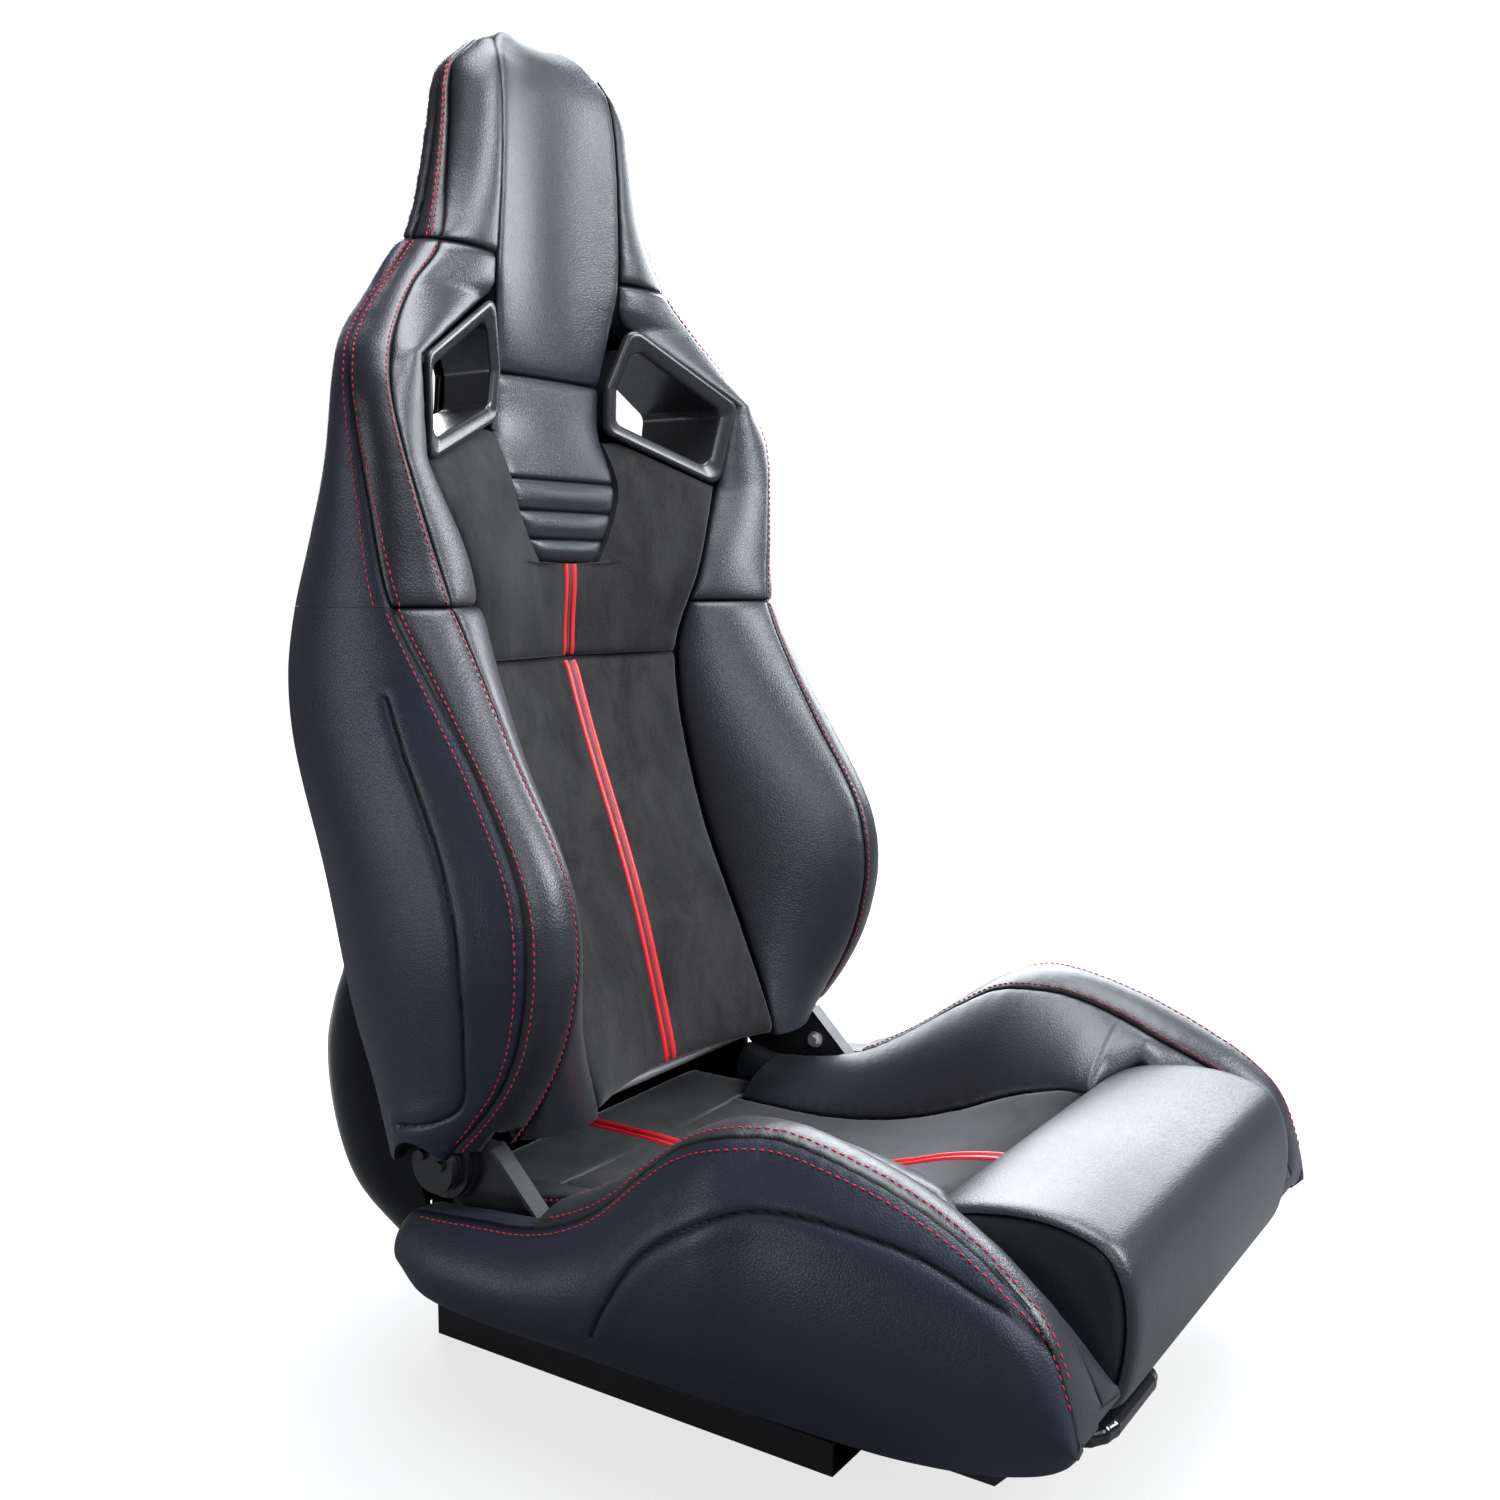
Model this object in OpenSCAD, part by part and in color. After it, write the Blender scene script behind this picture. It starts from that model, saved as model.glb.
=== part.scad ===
/* [Slide rails] */
// Distance between the centre lines of the two rails
rail_spread = 318; // [310:1:322]
// Length of each fixed rail
rail_length = 334; // [320:1:350]
// Width of the fixed rail
rail_width = 50; // [48:1:52]
// Height of the fixed rail
rail_height = 22; // [21:0.5:23]
// Sheet thickness of the fixed rail
rail_wall = 2.5; // [2:0.5:2.5]
// Width of the slot between the rail's turned-in lips
rail_slot = 18; // [16:1:20]
// Distance between the floor bolts of one rail
floor_bolt_pitch = 280; // [260:5:290]
// Diameter of the floor bolt holes
floor_bolt_d = 9; // [8.5:0.5:10.5]
// Diameter of the balls between the rails
ball_d = 7.1; // [7:0.05:7.15]

/* [Recliner] */
// Distance of the recline axis behind the middle of the rails
pivot_y = 130; // [128:1:132]
// Height of the recline axis above the floor
pivot_z = 147; // [146:1:149]
// Diameter of the cross rod that releases both recliners
rod_d = 10; // [8:1:10]
// Diameter of the bearing spigot
spigot_d = 16; // [15:1:17]
// Radial clearance of the turning fits
running_gap = 0.05; // [0.03:0.01:0.08]
// Diameter of the recliner housing
hub_d = 54; // [50:1:56]
// Thickness of the recliner plates
plate = 3.5; // [3:0.5:3.5]

/* [Backrest] */
// Thickness of the moulded back shell
shell_wall = 4; // [3:0.5:4]
// Outer diameter of the hoop tube
hoop_d = 20; // [18:1:22]
// Outer diameter of the head loop tube
head_loop_d = 14; // [12:1:14]
// Width of the rim round each harness slot
bezel_rim = 12; // [10:1:13]
// Wall thickness of the harness sleeve
sleeve_wall = 3; // [2.5:0.5:3]

/* [Cushion] */
// Underside of the cushion foam
foam_floor = 72; // [71:1:74]
// Half width of the centre panel
panel_half = 120; // [118:1:122]
// Outer diameter of the cross tubes
tube_d = 22; // [20:1:24]

/* [Hidden] */

$fn = 48;
rail_x = rail_spread / 2;
seam_gap = 0.5;

leather = [0.17, 0.18, 0.20];
suede = [0.09, 0.09, 0.10];
gloss = [0.03, 0.03, 0.04];
steel = [0.10, 0.10, 0.11];
zinc = [0.55, 0.56, 0.58];

// Lines that every pad of the backrest meets, as rows of height, distance from the middle, depth.
SPINE = [[165, 0, 90], [300, 0, 126], [485, 0, 190], [560, 0, 190], [710, 0, 207],
         [920, 0, 204], [945, 0, 208]];
PANEL_SEAM = [[150, 118, 64], [181, 118, 70], [250, 120, 100], [360, 120, 146], [487, 122, 171],
              [560, 143, 160], [629, 176, 168]];
CREST = [[150, 190, 94], [185, 190, 66], [224, 191, 42], [262, 192, 28], [311, 192, 22],
         [360, 193, 33], [426, 192, 72], [495, 192, 109], [532, 196, 125], [601, 214, 136],
         [666, 226, 146], [700, 215, 158], [730, 192, 172], [755, 168, 182], [784, 137, 189],
         [834, 116, 202], [880, 105, 208], [922, 97, 212], [936, 84, 213], [948, 70, 214]];
WELT = [[150, 232, 116], [168, 232, 100], [185, 230, 84], [214, 227, 62], [250, 228, 45],
        [300, 231, 35], [348, 229, 42], [409, 226, 74], [470, 225, 115], [530, 231, 149],
        [600, 235, 164], [665, 237, 175], [700, 229, 184], [722, 210, 196], [745, 188, 202],
        [770, 164, 206], [800, 139, 210], [865, 116, 215], [905, 107, 217], [922, 99, 218],
        [936, 83, 220], [948, 68, 221]];
REAR = [[62, 203, 150], [104, 222, 157], [154, 228, 164], [200, 228, 178], [250, 228, 197],
        [345, 228, 222], [430, 227, 250], [480, 226, 256], [525, 224, 250], [576, 222, 234],
        [630, 220, 218], [690, 209, 214], [720, 195, 218], [745, 176, 217], [770, 160, 218],
        [800, 137, 221], [832, 124, 223], [865, 113, 226], [905, 100, 229], [922, 93, 231],
        [936, 79, 235], [948, 64, 238]];
// Depth of the shell's middle and how squarely it turns the corner, by height.
SHELL_BACK = [[62, 250, 3.4], [88, 281, 3.4], [115, 299, 3.4], [150, 311, 3.4], [200, 314, 3.3],
              [237, 302, 3], [270, 288, 2.5], [300, 281, 2.2], [345, 283, 2.2], [400, 293, 2.2],
              [480, 300, 2.4], [560, 286, 2.6], [640, 268, 3], [700, 262, 3.2], [770, 266, 3.2],
              [865, 272, 3], [925, 266, 2.6], [940, 258, 2.3], [950, 247, 2.2]];
HEAD_SEAM = [[706, 63, 206], [757, 70, 196], [785, 73, 191], [851, 70, 188], [900, 68, 189],
             [930, 66, 193], [949, 63, 201]];
NECK_EDGE = [[561, 36, 190], [580, 48, 190], [602, 59, 190], [626, 65, 192], [669, 66, 209],
             [706, 63, 206]];
SIDE_BULGE = [[150, 8], [200, 16], [300, 22], [430, 20], [530, 12], [600, 8], [700, 6], [950, 4]];

// Lines of the cushion, as rows of distance behind the middle, distance from the middle, height.
SEAT_LINE = [[-206, 0, 150], [-190, 0, 148], [-154, 0, 140], [-118, 0, 128], [-60, 0, 112],
             [0, 0, 103], [60, 0, 100], [104, 0, 101]];
SEAT_SEAM = [[-206, panel_half, 166], [-187, panel_half, 165], [-146, panel_half, 152],
             [-104, panel_half, 133], [-51, panel_half, 115], [15, panel_half, 104],
             [104, panel_half, 103]];
SEAT_CREST = [[-342, 194, 104], [-325, 198, 142], [-300, 197, 164], [-279, 194, 177],
              [-239, 188, 195], [-202, 190, 209], [-161, 190, 219], [-120, 186, 219],
              [-96, 189, 212], [-60, 190, 191], [-22, 190, 166], [16, 190, 144], [57, 190, 131],
              [104, 190, 124]];
SEAT_WELT = [[-342, 229, 96], [-338, 230, 116], [-325, 231, 153], [-302, 231, 177],
             [-271, 228, 196], [-234, 228, 212], [-197, 230, 223], [-158, 233, 230],
             [-125, 243, 227], [-93, 241, 213], [-63, 240, 189], [-31, 240, 160],
             [2, 241, 142], [35, 240, 132], [71, 240, 128], [107, 240, 124], [132, 240, 121],
             [142, 238, 114]];
SEAT_HEM = [[-342, 226, 92], [-336, 228, 85], [-325, 229, 78], [-310, 229, 72], [-293, 229, 67],
            [-259, 230, 61], [-215, 232, 58], [-17, 234, 56], [120, 232, 57], [142, 232, 74]];
SEAT_BULGE = [[-342, 4], [-300, 20], [-200, 30], [0, 26], [100, 22], [142, 12]];

// Outline of one harness slot, seen from the front, and the plane its rim lies in.
SLOT = [[66, 669], [176, 629], [188, 700], [82, 757], [64, 706]];
slot_y = 234;
slot_turn = 0.385;
slot_lean = 0.1;

// Row that holds t, or the nearest one.
function row(line, t, i = 0) =
    i >= len(line) - 2 || t < line[i + 1][0] ? i : row(line, t, i + 1);

// Slope of column k at row i, from its two neighbours.
function slope(line, i, k) =
    let (a = line[max(i - 1, 0)], b = line[min(i + 1, len(line) - 1)])
    (b[k] - a[k]) / (b[0] - a[0]);

// Smooth value of column k at t, flat past both ends.
function along(line, t, k = 1) =
    let (
        s = min(max(t, line[0][0]), line[len(line) - 1][0]),
        i = row(line, s),
        h = line[i + 1][0] - line[i][0],
        u = (s - line[i][0]) / h
    )
    line[i][k] * (1 + 2 * u) * pow(1 - u, 2) + slope(line, i, k) * h * u * pow(1 - u, 2)
    + line[i + 1][k] * u * u * (3 - 2 * u) + slope(line, i + 1, k) * h * u * u * (u - 1);

function spot(line, t) = [along(line, t, 1), along(line, t, 2)];

// Straight value of column k at t, for lines with true corners.
function corner(line, t, k) = lookup(t, [for (r = line) [r[0], r[k]]]);

// Points from p towards q, bowed out to the right by rise; q itself is left out.
function bow(p, q, rise, n) =
    let (d = q - p, out = [d[1], -d[0]] / norm(d))
    [for (i = [0 : n - 1]) let (u = i / n) p + u * d + 4 * u * (1 - u) * rise * out];

function steps(a, b, n) = [for (i = [0 : n]) a + (b - a) * i / n];

// Closed skin through rings of equal length, each anticlockwise about the way they advance.
module skin(rings) {
    n = len(rings[0]);
    last = len(rings) - 1;
    sides = [for (i = [0 : last - 1], j = [0 : n - 1])
        let (a = i * n + j, b = i * n + (j + 1) % n)
        each [[a, a + n, b + n], [a, b + n, b]]];
    first_cap = [for (j = [0 : n - 1]) j];
    last_cap = [for (j = [n - 1 : -1 : 0]) last * n + j];
    polyhedron([for (r = rings) each r], concat([first_cap, last_cap], sides), convexity = 6);
}

function level(ring, z) = [for (p = ring) [p[0], p[1], z]];
function slice(ring, y) = [for (p = ring) [p[0], y, p[1]]];

module both(side) {
    if (side < 0) mirror([1, 0, 0]) children();
    else children();
}

// Path with each corner rounded into three short runs.
function eased(path, bend) =
    let (last = len(path) - 1)
    concat([path[0]], [for (i = [1 : last - 1])
        let (
            in = unit(path[i] - path[i - 1]),
            out = unit(path[i + 1] - path[i]),
            turn = acos(in * out),
            side = unit(out - in * (in * out)),
            start = path[i] - in * bend * tan(turn / 2)
        )
        for (k = [0 : 3]) let (a = turn * k / 3)
            start + in * bend * sin(a) + side * bend * (1 - cos(a))], [path[last]]);

// Round tube along a path, with a slightly fuller ball, its poles turned by roll, at each joint.
module bent_tube(path, d, bend, roll = 0) {
    line = eased(path, bend);
    for (i = [0 : len(line) - 2])
        stand(line[i], unit(line[i + 1] - line[i])) cylinder(d = d, h = norm(line[i + 1] - line[i]));
    for (i = [1 : len(line) - 2]) translate(line[i]) rotate(roll) sphere(d = d + 0.3);
}

function unit(v) = v / norm(v);

// Places children with their Z along way.
module stand(at, way) {
    side = unit(cross(abs(way[0]) < 0.9 ? [1, 0, 0] : [0, 1, 0], way));
    frame_at(at, side, unit(cross(way, side))) children();
}

// Places children with their X along x and their Y along y.
module frame_at(at, x, y) {
    z = cross(x, y);
    multmatrix([[x[0], y[0], z[0], at[0]], [x[1], y[1], z[1], at[1]],
                [x[2], y[2], z[2], at[2]], [0, 0, 0, 1]]) children();
}

// Extrudes a side view (distance back, height) from x0 to x1.
module side_view(x0, x1) {
    multmatrix([[0, 0, 1, x0], [1, 0, 0, 0], [0, 1, 0, 0], [0, 0, 0, 1]])
        linear_extrude(x1 - x0) children();
}

// Extrudes a front view (distance across, height) from y0 back to y1.
module front_view(y0, y1) {
    translate([0, y1, 0]) rotate([90, 0, 0]) linear_extrude(y1 - y0) children();
}

// ---------- slide rails ----------

module lower_rail_profile() {
    half = rail_width / 2;
    lip = rail_slot / 2;
    difference() {
        translate([-half, 0]) square([rail_width, rail_height]);
        translate([-half + rail_wall, rail_wall])
            square([rail_width - 2 * rail_wall, rail_height - 2 * rail_wall]);
        translate([-lip, rail_wall]) square([rail_slot, rail_height]);
    }
}

module lower_rail(side) {
    color(steel) both(side) difference() {
        translate([rail_x, 0, 0]) front_view(-rail_length / 2, rail_length / 2)
            lower_rail_profile();
        for (y = [-1, 1] * floor_bolt_pitch / 2)
            translate([rail_x, y, -1]) cylinder(d = floor_bolt_d, h = rail_wall + 2);
    }
}

flange_t = 2.5;
flange_z = (rail_height - flange_t) / 2;
ball_x = 13;
cage_t = 3;
ball_rows = [-90, -40, 40, 90];

module ball_cage(side) {
    ball_z = [(rail_wall + flange_z) / 2, (flange_z + flange_t + rail_height - rail_wall) / 2];
    color(zinc) both(side) for (z = ball_z, s = [-1, 1]) {
        difference() {
            translate([rail_x + s * ball_x - 4, -110, z - cage_t / 2]) cube([8, 220, cage_t]);
            for (y = ball_rows) translate([rail_x + s * ball_x, y, z])
                cylinder(d = ball_d + 0.1, h = cage_t * 2, center = true);
        }
        for (y = ball_rows) translate([rail_x + s * ball_x, y, z]) sphere(d = ball_d);
    }
}

module upper_rail(side) {
    web_top = 40;
    color(steel) both(side) translate([rail_x, 0, 0]) difference() {
        front_view(-150, 150) union() {
            translate([-18, flange_z]) square([36, flange_t]);
            translate([-2.5, flange_z]) square([5, web_top - flange_z]);
            translate([-10, web_top - 3]) square([20, 3]);
        }
        for (y = [-120, 120]) translate([0, y, web_top - 10]) cylinder(d = 8.2, h = 20);
    }
}

// ---------- seat frame ----------

bar_x = 140;
bar_pivot = [-102, 37];
bar_pin_d = 6;

module rail_riser(side) {
    color(steel) both(side) for (y = [-120, 85]) difference() {
        union() {
            translate([rail_x - 10, y, 40]) cube([51.5, 35, 3]);
            translate([rail_x + 41.5, y, 40]) cube([3, 35, 19]);
            if (y < 0) {
                translate([bar_x + 6.9, y, 40]) cube([5, 35, 8]);
                translate([bar_x + 6.9, bar_pivot[0], bar_pivot[1]]) rotate([0, 90, 0])
                    cylinder(d = 18, h = 2.1);
                translate([bar_x - 12, bar_pivot[0], bar_pivot[1]]) rotate([0, 90, 0])
                    cylinder(d = bar_pin_d, h = 20);
            }
        }
        translate([rail_x, y < 0 ? -120 : 120, 39]) cylinder(d = 8.2, h = 5);
        translate([rail_x + 40, y + 17.5, 53]) rotate([0, 90, 0]) cylinder(d = 8.2, h = 6);
    }
}

side_x = 204;
side_t = 3;

module seat_side(side) {
    color(steel) both(side) {
        difference() {
            side_view(side_x, side_x + side_t) difference() {
                polygon([[-300, 62], [-285, 46], [95, 46], [112, 62], [106, 100], [40, 96],
                         [-150, 100], [-300, 92]]);
                for (y = [-245, -180, -45, 20]) translate([y, 75]) circle(d = 26);
            }
            for (y = [-102.5, 102.5]) translate([side_x - 1, y, 53]) rotate([0, 90, 0])
                cylinder(d = 8.2, h = side_t + 2);
            for (p = [[-275, 76], [-95, 76]]) translate([side_x - 1, p[0], p[1]])
                rotate([0, 90, 0]) cylinder(d = 6.4, h = side_t + 2);
        }
        translate([side_x - 12, -283, 46]) cube([12, 150, 2.5]);
        translate([side_x - 12, -80, 46]) cube([12, 138, 2.5]);
    }
}

module cross_tube(y, z, half) {
    color(steel) difference() {
        translate([-half, y, z]) rotate([0, 90, 0]) cylinder(d = tube_d, h = 2 * half);
        translate([-half - 1, y, z]) rotate([0, 90, 0]) cylinder(d = tube_d - 4, h = 2 * half + 2);
    }
}

module front_cross_tube() {
    cross_tube(-250, 74, side_x);
}

module rear_cross_tube() {
    cross_tube(72, 58, bracket_x);
}

module seat_pan() {
    pan = [[-322, 74], [-312, 80], [-232, 88], [-209.5, foam_floor - 2.5],
           [108, foam_floor - 2.5]];
    color(steel) difference() {
        side_view(-196, 196) polygon(concat(
            pan, [for (i = [len(pan) - 1 : -1 : 0]) pan[i] + [0, 2]]));
        for (x = [-110, 0, 110], y = [-130, -20]) translate([x, y, foam_floor - 10])
            cylinder(d = 60, h = 20);
    }
}

// ---------- recliners ----------

bracket_x = 200.2;
disc_x = bracket_x + plate;
disc_t = 4.9;
upper_disc_x = disc_x + disc_t + 0.4;
upper_plate_x = upper_disc_x + disc_t;

module pivot_at(x) {
    translate([x, pivot_y, pivot_z]) rotate([0, 90, 0]) children();
}

module recliner_lower(side) {
    color(gloss) both(side) difference() {
        union() {
            side_view(bracket_x, bracket_x + plate) union() {
                translate([pivot_y, pivot_z]) circle(d = hub_d);
                polygon([[42, 126], [34, 108], [34, 60], [104, 60], [112, 110], [140, 125],
                         [118, 171], [84, 168]]);
            }
            translate([0, 42, 126]) rotate([45, 0, 0]) translate([bracket_x, 0, -3])
                cube([14, 57, 3]);
            pivot_at(disc_x) cylinder(d = hub_d, h = disc_t);
        }
        pivot_at(bracket_x - 5) cylinder(d = spigot_d + 2 * running_gap, h = 20);
        for (y = [50, 90]) translate([bracket_x - 1, y, 78]) rotate([0, 90, 0])
            cylinder(d = 10.2, h = plate + 2);
    }
}

module recliner_bolts() {
    color(zinc) for (s = [-1, 1]) both(s) for (p = [[50, 78], [90, 78], [77, 139]])
        translate([bracket_x, p[0], p[1]]) rotate([0, -90, 0]) {
            cylinder(d = 14, h = 1.6);
            translate([0, 0, 1.6]) cylinder(d = 10, h = 5, $fn = 6);
        }
}

module recliner_upper(side) {
    color(gloss) both(side) difference() {
        union() {
            side_view(upper_plate_x, upper_plate_x + plate) union() {
                translate([pivot_y, pivot_z]) circle(d = 40);
                polygon([[112, 156], [104, 210], [140, 300], [182, 290], [162, 215],
                         [149, 152]]);
            }
            pivot_at(upper_disc_x) cylinder(d = hub_d - 4, h = disc_t);
            pivot_at(bracket_x - 1) cylinder(d = spigot_d, h = upper_disc_x - bracket_x + 2);
        }
        pivot_at(bracket_x - 5) cylinder(d = rod_d + 2 * running_gap, h = 30);
    }
}

module hub_cap(side) {
    color(gloss) both(side) difference() {
        union() {
            pivot_at(upper_plate_x + plate) cylinder(d = 38, h = 6);
            for (p = [[-8, 2], [9, 7]]) translate([0, p[0], p[1]])
                pivot_at(upper_plate_x + plate + 6) cylinder(d = 8, h = 3.5);
        }
        pivot_at(upper_plate_x) cylinder(d = rod_d + 2 * running_gap, h = side < 0 ? 7 : 20);
    }
}

lever_x = 262;

module release_rod() {
    color(zinc) translate([0, pivot_y, pivot_z]) rotate([0, 90, 0]) {
        translate([0, 0, -219]) cylinder(d = rod_d, h = 219 + lever_x + 5);
    }
}

module recline_lever() {
    color(gloss) difference() {
        union() {
            pivot_at(lever_x - 2) cylinder(d = 22, h = 10);
            translate([0, pivot_y, pivot_z]) rotate([24, 0, 0]) hull() {
                translate([lever_x, 6, 0]) rotate([0, 90, 0]) cylinder(d = 16, h = 7, $fn = 32);
                translate([lever_x, 78, 2]) rotate([0, 90, 0]) cylinder(d = 12, h = 7, $fn = 32);
            }
        }
        pivot_at(lever_x - 10) cylinder(d = rod_d, h = 15);
    }
}

// ---------- slide release ----------

module slide_bar() {
    grip = [-321, 53];
    path = [[-bar_x, bar_pivot[0], bar_pivot[1]], [-bar_x, -235, bar_pivot[1]],
            [-bar_x, grip[0], grip[1]], [-47, grip[0], grip[1]], [-47, -262, 41],
            [bar_x, -262, 41], [bar_x, -225, bar_pivot[1]], [bar_x, bar_pivot[0], bar_pivot[1]]];
    color(steel) difference() {
        union() {
            bent_tube(path, 13, 16, [20, 30, 0]);
            for (s = [-1, 1]) both(s) translate([bar_x - 6.9, bar_pivot[0], bar_pivot[1]])
                rotate([0, 90, 0]) cylinder(d = 18, h = 12);
        }
        for (s = [-1, 1]) translate([s * bar_x - 10, bar_pivot[0], bar_pivot[1]])
            rotate([0, 90, 0]) cylinder(d = bar_pin_d + 2 * running_gap, h = 20);
    }
}

module latch_plates() {
    color(zinc) for (s = [-1, 1]) both(s) difference() {
        side_view(bar_x - 10, bar_x - 7) union() {
            translate(bar_pivot) circle(d = 18);
            polygon([[-106, 29], [-60, 26], [-40, 26], [-40, 35], [-60, 37], [-98, 45]]);
        }
        translate([bar_x - 12, bar_pivot[0], bar_pivot[1]]) rotate([0, 90, 0])
            cylinder(d = bar_pin_d + 2 * running_gap, h = 8);
    }
}

// ---------- backrest frame ----------

member_x = 210;

module back_member(side) {
    color(steel) both(side) {
        side_view(member_x, member_x + 3) difference() {
            polygon([[112, 184], [150, 184], [196, 300], [222, 400], [240, 480], [214, 484],
                     [180, 400], [146, 300]]);
            for (p = [[166, 290], [184, 350], [206, 420]]) translate(p) circle(d = 20);
        }
        for (f = [[[150, 184], [196, 300]], [[196, 300], [222, 400]]]) {
            run = f[1] - f[0];
            translate([member_x - 15, f[0][0], f[0][1]]) rotate([-atan2(run[0], run[1]), 0, 0])
                translate([0, -3.5, 0]) cube([16.5, 3, norm(run) - 1]);
        }
    }
}

module back_hoop() {
    path = [[-199, 206, 400], [-199, 230, 500], [-176, 236, 598], [176, 236, 598],
            [199, 230, 500], [199, 206, 400]];
    color(steel) bent_tube(path, hoop_d, 36);
}

module head_loop() {
    path = [[-45, 240, 611], [-45, 243, 700], [-48, 239, 780], [-48, 236, 915],
            [48, 236, 915], [48, 239, 780], [45, 243, 700], [45, 240, 611]];
    color(steel) bent_tube(path, head_loop_d, 22);
}

module lumbar_springs() {
    color(zinc) for (z = [250 : 60 : 430]) {
        y = along(SPINE, z, 2) + 52;
        for (s = [0 : 5]) translate([-207 + 69 * s, y, z]) rotate([0, 90, 0])
            cylinder(d = 4, h = 69);
    }
}

// ---------- back shell ----------

// Half of the outer or inner outline at height z, from the side edge to the middle.
function shell_half(z, inset, n = 12) =
    let (
        half = along(REAR, z, 1) - 17 - inset,
        edge = along(REAR, z, 2) - 4,
        depth = along(SHELL_BACK, z, 1) - inset - edge,
        power = 2 / along(SHELL_BACK, z, 2)
    )
    [for (i = [0 : n]) let (a = 90 * i / n)
        [half * pow(cos(a), power), edge + depth * pow(sin(a), power)]];

function shell_ring(z) =
    let (
        outer = shell_half(z, 0), inner = shell_half(z, shell_wall), n = len(outer) - 1,
        left = [for (i = [n - 1 : -1 : 0]) [-outer[i][0], outer[i][1]]],
        back = [for (i = [1 : n]) [-inner[i][0], inner[i][1]]]
    )
    concat(outer, left, [[-inner[0][0], inner[0][1]]], back,
           [for (i = [n - 1 : -1 : 0]) inner[i]]);

module back_shell() {
    heights = concat(steps(62, 200, 7), steps(226, 900, 20), [925, 936, 944, 949]);
    color(gloss) difference() {
        skin([for (z = heights) level(shell_ring(z), z)]);
        for (s = [-1, 1]) both(s) front_view(215, 300) slot_outline(bezel_rim - 5);
    }
}

// ---------- harness slots ----------

// Slot outline taken in by inset, with rounded corners.
module slot_outline(inset, round_r = 9) {
    offset(r = round_r, $fn = 24) offset(delta = -inset - round_r) polygon(SLOT);
}

// Space behind the plane that the slot rims lie in, moved back by t.
module behind_rim(t) {
    translate([0, slot_y + t, 669]) rotate([atan(slot_lean), 0, 0])
        rotate([0, 0, -atan(slot_turn)]) translate([-300, 0, -200]) cube([700, 400, 400]);
}

module harness_bezel(side) {
    color(steel) both(side) difference() {
        union() {
            intersection() {
                front_view(100, 250) slot_outline(0);
                difference() {
                    behind_rim(-7);
                    behind_rim(-2);
                }
            }
            intersection() {
                front_view(100, 246) slot_outline(bezel_rim - sleeve_wall);
                behind_rim(-7);
            }
        }
        front_view(90, 260) slot_outline(bezel_rim);
    }
}

// ---------- backrest pads ----------

// Points from side to side between two edges, dished to mid in the middle.
function across(edge, mid, n) =
    [for (i = [-n : n]) let (u = i / n) [edge[0] * u, mid + (edge[1] - mid) * u * u]];

module back_center() {
    color(suede) skin([for (z = concat([168, 174], steps(190, 480, 10), [486.5]))
        let (
            e = spot(PANEL_SEAM, z) - [seam_gap, 0],
            back = max(e[1], along(SPINE, z, 2)) + 40,
            tuck = z < 172 ? 8 : 0
        )
        level(concat(across(e + [0, tuck], along(SPINE, z, 2) + tuck, 4),
                     [[e[0], back], [-e[0], back]]), z)]);
}

// Flat back of the upper panels, on the hoop side.
upper_back = 214;

module back_upper() {
    heights = concat([487.5], steps(505, 560, 3), [560.5], steps(572, 629, 4), [640, 650, 660, 665]);
    color(suede) for (s = [-1, 1]) both(s) skin([for (z = heights)
        let (
            n = z > 560 ? spot(NECK_EDGE, z) + [seam_gap, 0] : [0.2, along(SPINE, z, 2)],
            x = z < 629 ? along(PANEL_SEAM, z, 1) : 176 - (z - 629) * 2.75,
            e = [x - seam_gap, z < 629 ? along(PANEL_SEAM, z, 2) : 168 + (z - 629) * 1.02]
        )
        level(concat(bow(n, e, -2, 4), [e, [e[0], upper_back], [n[0], upper_back]]), z)]);
}

module neck_pad() {
    channels = [561, 580, 602, 626];
    heights = concat([561.5, 566, 574, 578.5, 580, 581.5, 588, 596, 600.5, 602, 603.5, 611, 619,
                      624.5, 626, 627.5], steps(640, 700, 4), [705.5]);
    function dip(z) = max([for (c = channels) 3.5 * max(0, 1 - abs(z - c) / 3)]);
    color(leather) skin([for (z = heights)
        let (e = spot(NECK_EDGE, z) + [0, 1], mid = along(SPINE, z, 2) - 3 + dip(z))
        level(concat(across(e, mid, 4), [[e[0], 224], [-e[0], 224]]), z)]);
}

// How far the top of the head is rounded in at height z.
function head_round(z) = z < 936 ? 0 : 26 * (1 - sqrt(max(0, 1 - pow((z - 936) / 28.5, 2))));

module head_pad() {
    heights = concat([706.5], steps(725, 925, 9), [936, 946, 954, 960, 963, 964]);
    color(leather) skin([for (z = heights)
        let (
            r = head_round(z),
            e = [along(HEAD_SEAM, z, 1) - seam_gap - r * 1.6, along(HEAD_SEAM, z, 2) + r * 0.7],
            back = z < 930 ? 227 : along(REAR, z, 2) - 6 - r * 0.3
        )
        level(concat(across(e, along(SPINE, min(z, 940), 2) + r * 0.8, 4),
                     [[e[0], back], [-e[0], back]]), z)]);
}

// Outer skin of a side pad from the welt round to the rear edge.
function side_path(z, n) =
    bow(spot(WELT, z), spot(REAR, z), along(SIDE_BULGE, z, 1), n);

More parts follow.
